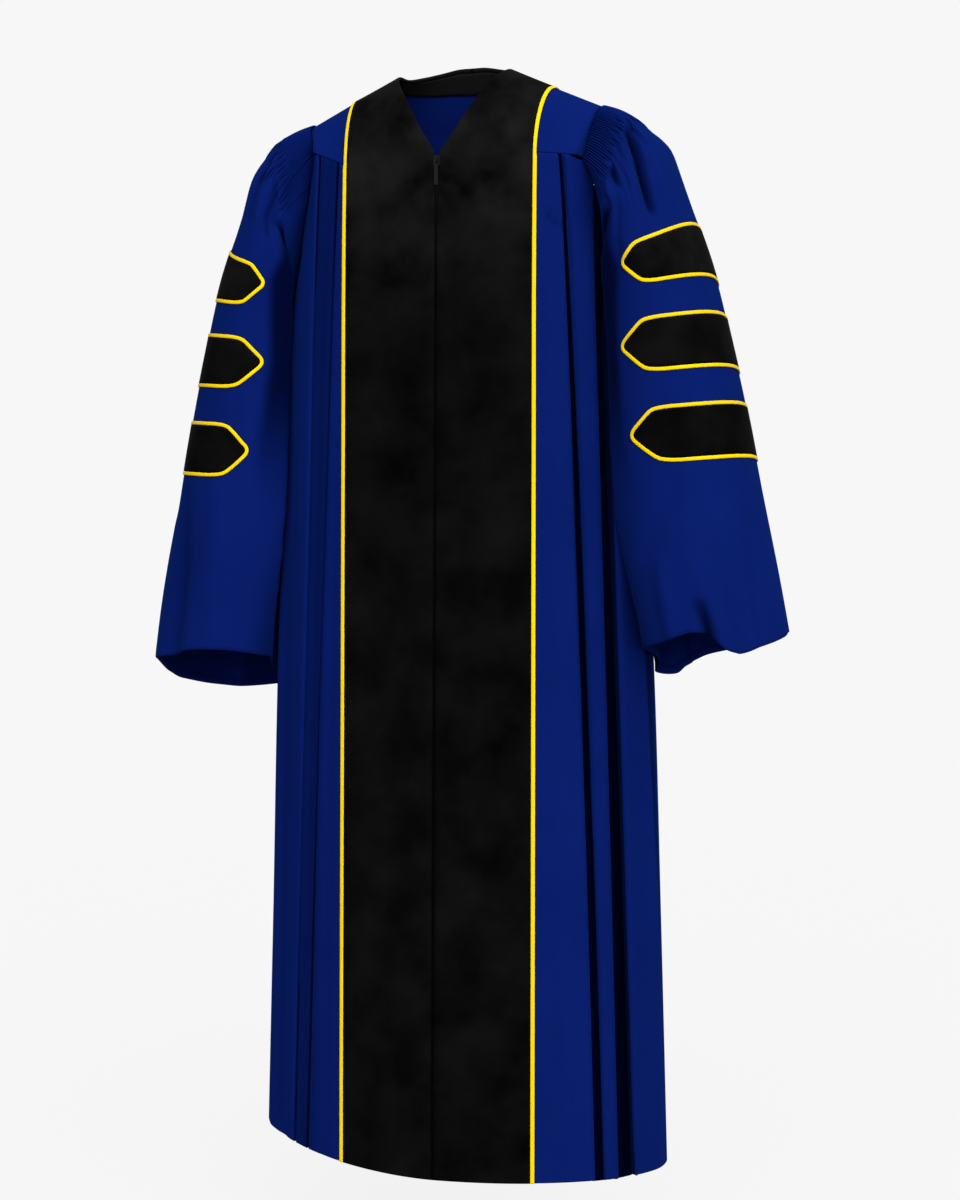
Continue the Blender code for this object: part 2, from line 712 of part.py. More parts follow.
mesh.strip(outer_rows[0], inner_rows[0], fine, places)
mesh.strip(outer_rows[-1], inner_rows[-1])
for k in (0, -1):
    outs = [r[k] for r in outer_rows]
    ins = [r[k] for r in inner_rows]
    mesh.faces.append((outs[0], outs[1], ins[0]))
    mesh.faces.append((outs[1], outs[2], ins[1], ins[0]))
    mesh.strip(outs[2:], ins[1:])
mesh.build("back", BLUE)


# Sleeves. A column is named by its turn round the sleeve: 0 outside, 90 front, 180 inside.
ARM_TURNS = [0, 30, 50, 68, 84, 98]
HEAD_TURNS = [-156, -132, -114, -98, -60, -25, 0, 30, 50, 68, 84, 98, 114, 132, 156, 180]


def on_loop(points, turn):
    keys = HEAD_TURNS[-3:] + HEAD_TURNS + HEAD_TURNS[:3]
    keys = [k - 360 if n < 3 else k + 360 if n > 18 else k for n, k in enumerate(keys)]
    rows = np.vstack([points[-3:], points, points[:3]])
    return smooth_rows(keys, rows, turn)


def armhole_point(turn, side):
    """The armhole itself. Its upper part is read from the same curve as the shoulder pieces."""
    if 0 <= turn <= 98:
        t = np.interp(turn, ARM_TURNS, [5, 4, 3, 2, 1, 0])
        return top_lines(t, side)[2]
    if -98 <= turn < 0:
        t = np.interp(turn, [-98, -60, -25, 0], [BACK_CORNER, 7, 6, 5])
        return top_lines(t, side)[2]
    keys = [98, 114, 132, 156, 180, 204, 228, 246, 262]
    line = LOWER_ARMHOLE[side]
    spot = np.interp(turn % 360, keys, np.arange(9) / 8 * (len(line) - 1))
    low = int(min(spot, len(line) - 2))
    return line[low] + (line[low + 1] - line[low]) * (spot - low)


def head_point(turn, part, side):
    """A point of the sleeve head, from the seam (0) to where the pleats are released (1)."""
    a = armhole_point(turn, side)
    b = on_loop(RELEASE[:, 1:], turn)
    run = unit(b - a)
    a = a + run * SLEEVE_SEAM
    if abs(turn) > 98:
        a = a + (0.0004, 0, 0)
    centre = np.array((0.20, 0.01, -0.18))
    up = unit((a + b) / 2 - centre)
    up = up - run * (up @ run)
    return a + (b - a) * part + up * HEAD_BULGE * math.sin(math.pi * part)


def sleeve_point(turn, level, side):
    """A point of the hanging sleeve, at a level named by its outer side."""
    keys, tips = np.array(TIP_LEVELS[side]).T
    tip = np.interp(level, keys, tips)
    turn = float(np.interp(turn, (-180, -TIP_TURN, TIP_TURN, 180), (-180, -tip, tip, 180)))
    row = smooth_rows(SLEEVE[:, 0], SLEEVE[:, 1:], level)
    outer, inner, front, back, drop_front, drop_inner, drop_back = row
    a = math.radians(turn)
    power = 2 / SLEEVE_SQUARE
    c = math.copysign(abs(math.cos(a)) ** power, math.cos(a))
    s = math.copysign(abs(math.sin(a)) ** power, math.sin(a))
    size = np.array(((outer - inner) / 2, (-front if s > 0 else back)))
    grow = float(smooth_step(-0.56, -0.76, level))
    wave = 0.0
    for at, wide, deep in SLEEVE_FOLDS:
        gap = (turn - at + 180) % 360 - 180
        wave += deep * math.exp(-((gap / wide) ** 2))
    size = size * (1 - grow * wave)
    x = (outer + inner) / 2 + size[0] * c - SIDE_SHIFT[side] * float(smooth_step(-0.1, -0.2, level))
    y = -size[1] * s
    turned = abs(turn)
    reach = drop_front if turn >= 0 else drop_back
    if turned <= TIP_TURN:
        drop = reach * float(smooth_step(0, TIP_TURN, turned))
    else:
        drop = reach + (drop_inner - reach) * float(smooth_step(TIP_TURN, 180, turned))
    cuff = float(np.interp(turn, CUFF_TURNS, CUFF_DROP[side]))
    drop += (cuff - drop) * float(smooth_step(-0.50, -0.765, level))
    z = level + drop
    here = ring(z)
    wide, deep = here.wide + BODY_CLEAR, (here.front if y < 0 else here.back) + BODY_CLEAR
    if abs(y) < deep:
        x = max(x, wide * (1 - (abs(y) / deep) ** here.square) ** (1 / here.square))
    return np.array((x, y, z))


# Soft folds of the bell: turn, width in degrees, depth as a part of the section.
SLEEVE_FOLDS = (
    (-140, 16, 0.30),
    (-62, 13, 0.16),
    (60, 12, 0.10),
    (150, 14, 0.14),
)


def bar_half(turn, half):
    """Half height of the bar's rows at a turn: a point at each tip, full between."""
    turned = abs(turn)
    if turned >= TIP_TURN:
        return TIP_HALF + (0.020 - TIP_HALF) * float(smooth_step(TIP_OUTER_TURN, 155, turned))
    rise = np.interp(TIP_TURN - turned, (0, TIP_TURN - SHOULDER_TURN, 27), (0, 0.86, 1))
    return TIP_HALF + (half - TIP_HALF) * float(rise)


def piping_half(turn, half):
    """Half height out to the far edge of the bar's piping, which is set square to the outline."""
    slant = np.interp(abs(turn), (70, SHOULDER_TURN, TIP_TURN, 150), (1.0, 1.35, 1.3, 1.0))
    return bar_half(turn, half) + PIPING_WIDE * float(slant)


HALF_TURNS = [13 * k for k in range(1, 7)] + [SHOULDER_TURN, TIP_TURN, TIP_OUTER_TURN, 126, 143, 161]
TURNS = [-t for t in reversed(HALF_TURNS)] + [0] + HALF_TURNS + [180]
TIPS = (TURNS.index(-TIP_TURN), TURNS.index(TIP_TURN))
UPPER_LEVELS = (-0.118, -0.160)
LOWER_LEVELS = (-0.580, -0.650, -0.715, -0.765)


def flute_turns(side):
    """Turns of the head's fine columns, and which of them are raised."""
    dense = np.linspace(-SLEEVE_FLUTE_TURN, SLEEVE_FLUTE_TURN, 400)
    middle = np.array([head_point(t, 0.5, side) for t in dense])
    steps = np.append(0, np.cumsum(np.linalg.norm(np.diff(middle, axis=0), axis=1)))
    even = np.linspace(0, steps[-1], 2 * SLEEVE_FLUTES + 1)
    turns = np.interp(even, steps, dense)
    high = [k % 2 for k in range(len(turns))]
    below = [t for t in TURNS if t < -SLEEVE_FLUTE_TURN - 4]
    above = [t for t in TURNS if t > SLEEVE_FLUTE_TURN + 4]
    raised = [0] * len(below) + high + [0] * len(above)
    return np.array(below + list(turns) + above), np.array(raised, float)


for side, word in ((1, "left"), (-1, "right")):
    rise = SIDE_RISE[side]
    coarse = [[head_point(t, p, side) for t in TURNS] for p in (0, 0.5, 1)]
    coarse += [[sleeve_point(t, z, side) for t in TURNS] for z in UPPER_LEVELS]
    names = ["seam", "head", "release"] + ["upper"] * len(UPPER_LEVELS)
    for number, (level_left, level_right, half) in enumerate(BARS, 1):
        level = level_left if side == 1 else level_right
        for sign, rule, what in (
            (1, piping_half, "above"),
            (1, bar_half, "top"),
            (0, bar_half, "mid"),
            (-1, bar_half, "bottom"),
            (-1, piping_half, "below"),
        ):
            coarse.append([sleeve_point(t, level + sign * rule(t, half), side) for t in TURNS])
            names.append(f"{what}{number}")
    for level in LOWER_LEVELS:
        coarse.append([sleeve_point(t, level, side) for t in TURNS])
        names.append("lower")
    coarse = np.array(coarse)
    # One arm hangs a little higher than the other, and it shows more towards the cuff.
    share = smooth_step(-0.50, -0.78, coarse[:, :, 2])
    coarse[:, :, 2] += rise * share
    out = outward(coarse, closed=True, away=(0.29, 0.01, None))
    turns, raised = flute_turns(side)
    head = np.array([[head_point(t, p, side) for t in turns] for p in (0, 0.5, 1)])
    head_out = outward(head, closed=True, away=(0.2, 0.01, -0.18))
    amount = np.array((1.0, 1.0, 0.7))[:, None, None] * FLUTE_HIGH * raised[None, :, None]
    head = head + head_out * amount
    flip = np.array((side, 1, 1))
    mesh = Mesh()
    outer_rows = [mesh.row(r * flip) for r in head] + [mesh.row(r * flip) for r in coarse[3:]]
    keys = [turns] * 3 + [TURNS] * (len(outer_rows) - 3)
    for k in range(len(outer_rows) - 1):
        mesh.strip(outer_rows[k], outer_rows[k + 1], keys[k], keys[k + 1], closed=True)
    kept = [k for k, n in enumerate(names) if not n.startswith(("above", "top", "bottom", "below", "head"))]
    inner = coarse[kept] - out[kept] * WALL
    inner_rows = [mesh.row(r * flip) for r in inner]
    for a, b in zip(inner_rows[:-1], inner_rows[1:]):
        mesh.strip(b, a, closed=True)
    mesh.strip(outer_rows[0], inner_rows[0], turns, TURNS, closed=True)
    mesh.strip(outer_rows[-1], inner_rows[-1], closed=True)
    mesh.build("sleeve_" + word, BLUE)

    # The bars and their piping lie on the sleeve's own points.
    lo, hi = TIPS
    for number in (1, 2, 3):
        middle = names.index(f"mid{number}")
        rows = coarse[middle - 1 : middle + 2, lo : hi + 1]
        lift = out[middle - 1 : middle + 2, lo : hi + 1]
        name = f"bar_{word}_{number}"
        face = (rows + lift * (LIFT + VELVET_THICK)) * flip
        wall(name, face, (rows + lift * LIFT) * flip, MATERIAL["black_velvet"])
        # The piping's cells run round the bar: along the top, back along the bottom.
        span = slice(lo, hi + 1)
        back = slice(hi, lo - 1 if lo else None, -1)
        top, low = middle - 1, middle + 1

        def around(grid):
            near = np.vstack([grid[top, span], grid[middle, hi], grid[low, back], grid[middle, lo]])
            ends = grid[middle, hi + 1], grid[middle, lo - 1]
            far = np.vstack([grid[top - 1, span], ends[0], grid[low + 1, back], ends[1]])
            return near, far

        near, far = around(coarse)
        lift_near, lift_far = around(out)
        near = near + unit(far - near) * SEAM / 2
        sheet = []
        for part, tall in PIPING_SECTION:
            lift = lift_near + (lift_far - lift_near) * part
            point = near + (far - near) * part
            sheet.append((point + lift * (LIFT + tall * PIPING_HIGH)) * flip)
        mesh = Mesh()
        rings = [mesh.row(r) for r in sheet]
        for k in range(len(rings)):
            mesh.strip(rings[k], rings[(k + 1) % len(rings)], closed=True)
        mesh.build(f"bar_piping_{word}_{number}", MATERIAL["yellow_piping"])


# The zip: a tape behind the fronts, a slider at its top, and the pull that hangs from it.
def front_y(z):
    return float(-ring(z).front)


levels = np.linspace(-0.1280, ZIP_BOTTOM_Z, 10)
tape = np.array([[(x, front_y(z) + WALL + LIFT, z) for x in (-TAPE_HALF, 0, TAPE_HALF)] for z in levels])
wall("zip_tape", tape, tape + (0, TAPE_THICK, 0), MATERIAL["zip_tape_black"])


def box(name, low, high, bevel=0.0):
    work = bmesh.new()
    bmesh.ops.create_cube(work, size=1)
    low, high = np.array(low), np.array(high)
    for v in work.verts:
        v.co = tuple((low + high) / 2 + np.array(v.co) * (high - low))
    if bevel:
        bmesh.ops.bevel(work, geom=work.edges[:], offset=bevel, segments=2, affect="EDGES")
    mesh = bpy.data.meshes.new(name)
    work.to_mesh(mesh)
    work.free()
    obj = bpy.data.objects.new(name, mesh)
    bpy.context.scene.collection.objects.link(obj)
    return obj


def helper(obj):
    obj.hide_render = True
    obj.display_type = "WIRE"
    return obj


def boolean(obj, other, operation):
    modifier = obj.modifiers.new(operation.lower(), "BOOLEAN")
    modifier.operation = operation
    modifier.object = helper(other)
    modifier.solver = "EXACT"


SURFACE = front_y(SLIDER_Z)
BODY_BACK = SURFACE + WALL + LIFT - 0.0003
BODY_FRONT = BODY_BACK - SLIDER_SIZE[1]
AXIS_Y = BODY_FRONT - 0.0012
AXIS_Z = SLIDER_Z + 0.0010
half = SLIDER_SIZE[0] / 2
slider = box(
    "zip_slider",
    (-half, BODY_FRONT, SLIDER_Z - SLIDER_SIZE[2] / 2),
    (half, BODY_BACK, SLIDER_Z + SLIDER_SIZE[2] / 2),
    0.0010,
)
crown = box(
    "crown_block",
    (-CROWN_HALF, AXIS_Y - 0.0024, AXIS_Z - 0.0032),
    (CROWN_HALF, BODY_FRONT + 0.0008, AXIS_Z + 0.0032),
)
window = box(
    "crown_window",
    (-0.004, AXIS_Y - 0.0012, AXIS_Z - 0.0020),
    (0.004, BODY_FRONT, AXIS_Z + 0.0020),
)
boolean(crown, window, "DIFFERENCE")
boolean(slider, crown, "UNION")
slider.data.materials.append(MATERIAL["black_metal"])

pull = box(
    "zip_pull",
    (-PULL_WIDE / 2, AXIS_Y - PULL_THICK / 2, AXIS_Z + 0.0006 - PULL_LONG),
    (PULL_WIDE / 2, AXIS_Y + PULL_THICK / 2, AXIS_Z + 0.0006),
    0.0003,
)
eye = box(
    "pull_eye",
    (-EYE_HALF, AXIS_Y - 0.004, AXIS_Z - EYE_LONG),
    (EYE_HALF, AXIS_Y + 0.004, AXIS_Z - 0.0006),
)
boolean(pull, eye, "DIFFERENCE")
pull.data.materials.append(MATERIAL["black_metal"])
for obj in (slider, pull):
    obj.data.shade_smooth()
    obj.data.set_sharp_from_angle(angle=math.radians(40))
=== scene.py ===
# %% [markdown]
# # A doctoral style graduation gown
# The gown is royal blue gown cloth with black velvet down both fronts, three velvet bars on each sleeve
# and flat yellow piping round all the velvet. It is filled out as if worn, with nobody in it.
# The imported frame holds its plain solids. Each cloth piece is made again here as a thin sheet on the same
# form, with its pleats, folds and seams, and then takes the solid's place.

import json
import math

import bpy
import numpy as np
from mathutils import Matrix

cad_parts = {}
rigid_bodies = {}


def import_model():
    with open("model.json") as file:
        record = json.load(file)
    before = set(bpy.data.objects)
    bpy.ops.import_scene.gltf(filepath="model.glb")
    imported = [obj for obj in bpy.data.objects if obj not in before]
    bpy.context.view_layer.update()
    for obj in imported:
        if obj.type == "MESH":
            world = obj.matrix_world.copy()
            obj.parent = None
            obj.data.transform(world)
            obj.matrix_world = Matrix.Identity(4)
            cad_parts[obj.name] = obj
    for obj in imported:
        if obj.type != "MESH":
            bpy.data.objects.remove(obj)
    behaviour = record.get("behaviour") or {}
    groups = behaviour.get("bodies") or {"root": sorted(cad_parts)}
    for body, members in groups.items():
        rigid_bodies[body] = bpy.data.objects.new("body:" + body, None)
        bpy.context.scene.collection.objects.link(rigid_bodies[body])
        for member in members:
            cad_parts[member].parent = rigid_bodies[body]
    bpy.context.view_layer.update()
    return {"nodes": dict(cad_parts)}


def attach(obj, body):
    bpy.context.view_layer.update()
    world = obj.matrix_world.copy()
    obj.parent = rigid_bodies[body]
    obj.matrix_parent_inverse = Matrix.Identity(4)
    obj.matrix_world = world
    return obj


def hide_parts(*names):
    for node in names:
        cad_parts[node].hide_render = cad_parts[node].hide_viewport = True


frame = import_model()

# %% [markdown]
# ## Camera
# The photo was taken with a level camera, at about the height of the gown's middle and a little to the
# wearer's left. A level camera keeps long garments from leaning, so the lens is only turned, never tipped.

# %% Camera
CAMERA_TURN = math.radians(16.0)
CAMERA_FAR = 2.60
CAMERA_HIGH = -0.700
FOCAL_PIXELS = 1933.0
IMAGE_WIDE = 960
AXIS_LEFT = 18.0

camera_data = bpy.data.cameras.new("camera")
camera_data.sensor_fit = "HORIZONTAL"
camera_data.sensor_width = 36.0
camera_data.lens = 36.0 * FOCAL_PIXELS / IMAGE_WIDE
camera = bpy.data.objects.new("camera", camera_data)
aim = CAMERA_TURN - math.atan(AXIS_LEFT / FOCAL_PIXELS)
camera.location = (CAMERA_FAR * math.sin(CAMERA_TURN), -CAMERA_FAR * math.cos(CAMERA_TURN), CAMERA_HIGH)
camera.rotation_euler = (math.pi / 2, 0, aim)
bpy.context.scene.collection.objects.link(camera)
bpy.context.scene.camera = camera
print("lens", round(camera_data.lens, 1), "mm")

# %% [markdown]
# ## Measures
# The tables give the gown's form in metres: level sections of the body, the line over the shoulder, the
# armhole, and sections of the hanging sleeve. X is the wearer's left, Y the back, Z up, and the origin
# lies on the shoulders. A smooth curve through each table gives every point between its rows.

# %% Sizes of cloth, trim and seams
CLOTH = 0.0009
VELVET_THICK = 0.0012
PIPING_WIDE = 0.0050
PIPING_HIGH = 0.0015
LIFT = 0.0003
SEAM = 0.0005
SLEEVE_SEAM = 0.0008
WALL = 0.0016

YOKE_Z = -0.130
YOKE_OUTER_RISE = {1: -0.003, -1: 0.024}
STRAIGHT_Z = -0.450
HEM_Z = -1.440
HEM_BLEND_Z = -1.000
HEM_SIDE_RISE = {1: 0.005, -1: 0.035}
SIDE_WIDER = {1: 0.0005, -1: -0.004}
VELVET_X = 0.1250
CORNER_X = 0.1835
PIPING_STEP = PIPING_WIDE + 0.0006
GAP_TABLE = np.array(
    (
        # z, half of the opening between the fronts
        (-1.445, 0.0001),
        (-0.860, 0.0001),
        (-0.800, 0.0007),
        (-0.290, 0.0007),
        (-0.205, 0.0017),
        (-0.160, 0.0026),
        (-0.146, 0.0050),
        (-0.100, 0.0050),
    )
)

# %% Body, shoulder and armhole
BODY = np.array(
    (
        # z, half width, front depth, back depth, squareness
        (-1.445, 0.277, 0.138, 0.158, 2.05),
        (-1.100, 0.268, 0.134, 0.150, 2.15),
        (-0.800, 0.259, 0.129, 0.142, 2.35),
        (-0.460, 0.240, 0.123, 0.130, 2.80),
        (-0.300, 0.233, 0.121, 0.123, 3.00),
        (-0.170, 0.230, 0.118, 0.115, 3.00),
        (-0.100, 0.226, 0.115, 0.108, 3.00),
    )
)
TOP = np.array(
    (
        # neck                      velvet edge                outer edge
        (0.0050, -0.1160, -0.1300, 0.1250, -0.1040, -0.1300, 0.1835, -0.0750, -0.1210),
        (0.0052, -0.1160, -0.1240, 0.1252, -0.1030, -0.1120, 0.1870, -0.0700, -0.1040),
        (0.0300, -0.1080, -0.0830, 0.1265, -0.0960, -0.0830, 0.1915, -0.0620, -0.0860),
        (0.0560, -0.0880, -0.0380, 0.1285, -0.0800, -0.0560, 0.1955, -0.0520, -0.0710),
        (0.0700, -0.0650, -0.0150, 0.1310, -0.0560, -0.0360, 0.1985, -0.0370, -0.0605),
        (0.0760, -0.0350, -0.0020, 0.1320, -0.0220, -0.0255, 0.2000, -0.0120, -0.0550),
        (0.0740, 0.0000, 0.0030, 0.1290, 0.0120, -0.0260, 0.1990, 0.0150, -0.0580),
        (0.0620, 0.0300, 0.0130, 0.1150, 0.0480, -0.0370, 0.1950, 0.0430, -0.0750),
        (0.0420, 0.0460, 0.0210, 0.0850, 0.0740, -0.0500, 0.1860, 0.0740, -0.1200),
        (0.0200, 0.0520, 0.0265, 0.0420, 0.0850, -0.0570, 0.1050, 0.1010, -0.1500),
        (0.0000, 0.0530, 0.0270, 0.0000, 0.0880, -0.0590, 0.0000, 0.1080, -0.1580),
    )
).reshape(-1, 3, 3)
SHOULDER_SEAM = 5.4
BACK_CORNER = 8
CENTRE_BACK = 10
UNDERARM = np.array(
    (
        (0.1930, -0.0680, -0.1600),
        (0.2060, -0.0560, -0.2050),
        (0.2220, -0.0300, -0.2650),
        (0.2300, 0.0100, -0.2920),
        (0.2240, 0.0500, -0.2650),
        (0.2060, 0.0720, -0.2050),
        (0.1930, 0.0760, -0.1600),
    )
)
UNDERARM_MIDDLE = 3

# %% Sleeve
RELEASE = np.array(
    (
        # turn round the sleeve in degrees, then the point where the head pleats are released
        (-156, 0.2320, 0.0750, -0.2950),
        (-132, 0.2180, 0.1050, -0.2350),
        (-114, 0.2180, 0.1150, -0.1950),
        (-98, 0.2220, 0.1120, -0.1600),
        (-60, 0.2350, 0.0850, -0.1120),
        (-25, 0.2440, 0.0350, -0.0860),
        (0, 0.2460, -0.0100, -0.0800),
        (30, 0.2435, -0.0480, -0.0850),
        (50, 0.2390, -0.0740, -0.0950),
        (68, 0.2330, -0.0920, -0.1200),
        (84, 0.2260, -0.1030, -0.1440),
        (98, 0.2200, -0.1080, -0.1680),
        (114, 0.2150, -0.1070, -0.2000),
        (132, 0.2150, -0.0950, -0.2400),
        (156, 0.2290, -0.0600, -0.2980),
        (180, 0.2450, 0.0100, -0.3220),
    )
)
SLEEVE = np.array(
    (
        # level, outer, inner, front, back, drop_front, drop_inner, drop_back
        (-0.765, 0.438, 0.236, -0.122, 0.160, -0.010, -0.016, -0.016),
        (-0.680, 0.424, 0.219, -0.121, 0.152, -0.010, -0.014, -0.016),
        (-0.560, 0.403, 0.202, -0.119, 0.141, -0.011, -0.012, -0.016),
        (-0.482, 0.389, 0.197, -0.118, 0.136, -0.012, -0.012, -0.016),
        (-0.366, 0.364, 0.197, -0.118, 0.132, -0.015, -0.040, -0.016),
        (-0.249, 0.334, 0.192, -0.118, 0.130, -0.028, -0.111, -0.028),
        (-0.190, 0.313, 0.192, -0.117, 0.128, -0.052, -0.156, -0.050),
        (-0.118, 0.286, 0.200, -0.113, 0.122, -0.088, -0.217, -0.084),
    )
)
SLEEVE_SQUARE = 2.15
HEAD_BULGE = 0.003
BODY_CLEAR = 0.006
SIDE_RISE = {1: 0.022, -1: -0.014}
SIDE_SHIFT = {1: 0.002, -1: 0.0075}
CUFF_DROP = np.array(
    (
        # turn, drop of the left cuff, drop of the right cuff
        (-180, -0.032, -0.018),
        (-150, -0.058, -0.034),
        (-130, -0.052, -0.037),
        (-115, -0.040, -0.039),
        (-100, -0.032, -0.042),
        (-90, -0.028, -0.045),
        (-70, -0.020, -0.048),
        (-40, -0.008, -0.044),
        (-20, -0.001, -0.036),
        (-10, 0.000, -0.031),
        (0, -0.001, -0.021),
        (10, -0.005, -0.011),
        (20, -0.009, -0.004),
        (40, -0.017, 0.000),
        (60, -0.026, 0.004),
        (70, -0.020, 0.007),
        (80, -0.001, 0.010),
        (90, 0.001, 0.011),
        (110, -0.010, 0.010),
        (130, -0.018, 0.005),
        (150, -0.020, 0.000),
        (180, -0.032, -0.018),
    )
)
SLEEVE_FOLDS = (
    # turn, width in degrees, depth as a part of the section
    (-140, 16, 0.30),
    (-116, 9, 0.22),
    (-62, 13, 0.16),
    (60, 12, 0.10),
    (150, 14, 0.14),
)
BARS = (
    # level on the wearer's left arm, level on the right, half height
    (-0.249, -0.255, 0.0315),
    (-0.366, -0.371, 0.0315),
    (-0.482, -0.490, 0.0315),
)
TIP_TURN = 106.0
TIP_LEVELS = {
    1: ((-0.560, 106.0), (-0.482, 109.5), (-0.366, 113.0), (-0.249, 101.5), (-0.190, 106.0)),
    -1: ((-0.560, 106.0), (-0.482, 100.5), (-0.366, 108.0), (-0.249, 99.0), (-0.190, 106.0)),
}

# %% [markdown]
# ## Curves
# Three small tools do the drawing work: a smooth step from 0 to 1, a smooth curve through a table's rows,
# and the outline of the body at one level. That outline is measured along the cloth, because a tailor's
# sizes are distances along the cloth too.

# %% Smooth curves


def smooth_step(a, b, v):
    t = np.clip((np.asarray(v, float) - a) / (b - a), 0, 1)
    return t * t * (3 - 2 * t)


def smooth_rows(keys, rows, at):
    """Values of a table at a key, on a smooth curve through its rows."""
    keys = np.asarray(keys, float)
    rows = np.asarray(rows, float)
    slopes = np.gradient(rows, keys, axis=0)
    i = int(np.clip(np.searchsorted(keys, at) - 1, 0, len(keys) - 2))
    h = keys[i + 1] - keys[i]
    t = (at - keys[i]) / h
    return (
        rows[i] * (1 + 2 * t) * (1 - t) ** 2
        + slopes[i] * h * t * (1 - t) ** 2
        + rows[i + 1] * t * t * (3 - 2 * t)
        + slopes[i + 1] * h * t * t * (t - 1)
    )


def unit(v):
    return v / np.maximum(np.linalg.norm(v, axis=-1, keepdims=True), 1e-12)


# %% The body's outline at a level


class Ring:
    """One level section of the body, from the centre front round the side to the centre back."""

    def __init__(self, z):
        self.wide, self.front, self.back, self.square = smooth_rows(BODY[:, 0], BODY[:, 1:], z)
        p = np.linspace(0, math.pi, 721)
        power = 2 / self.square
        depth = np.where(p < math.pi / 2, -self.front, self.back)
        self.x = self.wide * np.abs(np.sin(p)) ** power
        self.y = depth * np.abs(np.cos(p)) ** power
        self.s = np.append(0, np.cumsum(np.hypot(np.diff(self.x), np.diff(self.y))))
        self.side = self.s[360]
        self.end = self.s[-1]

    def of_x(self, x):
        return np.interp(x, self.x[:361], self.s[:361])

    def point(self, s):
        return np.interp(s, self.s, self.x), np.interp(s, self.s, self.y)

    def normal(self, s):
        ax, ay = self.point(s - 0.004)
        bx, by = self.point(s + 0.004)
        tangent = math.hypot(bx - ax, by - ay)
        return -(ay - by) / tangent, -(bx - ax) / tangent


RINGS = {}


def ring(z):
    """The section at a level, kept for use again by the half millimetre."""
    key = round(float(z) * 2000)
    if key not in RINGS:
        RINGS[key] = Ring(key / 2000)
    return RINGS[key]


print("hem round the body:", round(2 * ring(HEM_Z).end, 3), "m")

# %% [markdown]
# ## Turning rows of points into cloth
# Each piece is drawn as rows of points on its outer face. Neighbouring rows are joined with quads, and
# where a gathered row has many more points than the next, a strip of triangles takes up the difference.
# A Solidify modifier then gives the sheet its thickness, which keeps the mesh light and easy to change.
# The map called cloth holds distances along the cloth in metres, so that a weave keeps its scale.

# %% Mesh from rows


def faces_between(a, b, keys_a, keys_b, closed):
    """Corner numbers of the faces between two rows, as (row, column) pairs."""
    if len(keys_a) == len(keys_b):
        ends = len(keys_a) if closed else len(keys_a) - 1
        return [((a, k), (a, k + 1), (b, k + 1), (b, k)) for k in range(ends)]
    ka = np.append(keys_a, keys_a[0] + 360) if closed else keys_a
    kb = np.append(keys_b, keys_b[0] + 360) if closed else keys_b
    faces = []
    i = j = 0
    while i < len(ka) - 1 or j < len(kb) - 1:
        step_a = i < len(ka) - 1
        if step_a and j < len(kb) - 1:
            step_a = ka[i + 1] + ka[i] <= kb[j + 1] + kb[j]
        if step_a:
            faces.append(((a, i), (a, i + 1), (b, j)))
            i += 1
        else:
            faces.append(((a, i), (b, j + 1), (b, j)))
            j += 1
    return faces


def cloth_piece(
    name, rows, material, thick=CLOTH, keys=None, spans=None, closed=False, inside=(0, 0, None), fold_and_painted_shade=None
):
    """A sheet through rows of points. keys place the columns, and spans is the cloth's width for keys 0 to 1.

    The last argument gives each point its painted shade, from 0 to 1, which stands for shade in pleats, creases and
    under the arms.
    """
    keys = keys or [np.linspace(0, 1, len(r)) for r in rows]
    starts = np.cumsum([0] + [len(r) for r in rows])
    middles = [np.asarray(r).mean(axis=0) for r in rows]
    down = np.append(0, np.cumsum([np.linalg.norm(p - q) for p, q in zip(middles, middles[1:])]))
    wide = spans or float(np.linalg.norm(np.diff(rows[len(rows) // 2], axis=0), axis=1).sum())
    scale = wide / 360 if closed else wide / max(1e-9, keys[0][-1] - keys[0][0])
    corners = []
    for k in range(len(rows) - 1):
        corners += faces_between(k, k + 1, keys[k], keys[k + 1], closed)
    points = np.vstack(rows)
    faces = [tuple(int(starts[r] + c % len(rows[r])) for r, c in f) for f in corners]
    if not faces_outward(points, faces, inside):
        faces = [f[::-1] for f in faces]
        corners = [c[::-1] for c in corners]
    mesh = bpy.data.meshes.new(name)
    mesh.from_pydata([tuple(map(float, p)) for p in points], [], faces)
    layer = mesh.uv_layers.new(name="cloth")
    flat = []
    for face in corners:
        for r, c in face:
            count = len(rows[r])
            key = keys[r][c % count] + (360 if closed and c >= count else 0)
            flat += [key * scale, down[r]]
    layer.data.foreach_set("uv", flat)
    # Painted shade for each point is kept as an attribute for the material to read.
    if fold_and_painted_shade is not None:
        tuck_and_painted_shade = mesh.attributes.new("fold_and_painted_shade", "FLOAT", "POINT")
        tuck_and_painted_shade.data.foreach_set("value", np.clip(np.concatenate([np.ravel(r) for r in fold_and_painted_shade]), 0, 1).astype(np.float32))
    mesh.shade_smooth()
    mesh.materials.append(material)
    piece = bpy.data.objects.new(name, mesh)
    bpy.context.scene.collection.objects.link(piece)
    if thick:
        solid = piece.modifiers.new("thickness", "SOLIDIFY")
        solid.thickness = thick
        solid.offset = -1
    return piece


def faces_outward(points, faces, inside):
    """True if the faces, taken together, turn away from an upright line or a point inside."""
    some = [f[:3] for f in faces[:: max(1, len(faces) // 4000)]]
    a, b, c = (points[[f[k] for f in some]] for k in range(3))
    normal = np.cross(b - a, c - a)
    away = a - np.array([v if v is not None else 0.0 for v in inside])
    if inside[2] is None:
        away = away * (1, 1, 0)
    return (normal * away).sum() > 0


# %% Pushing a sheet in and out


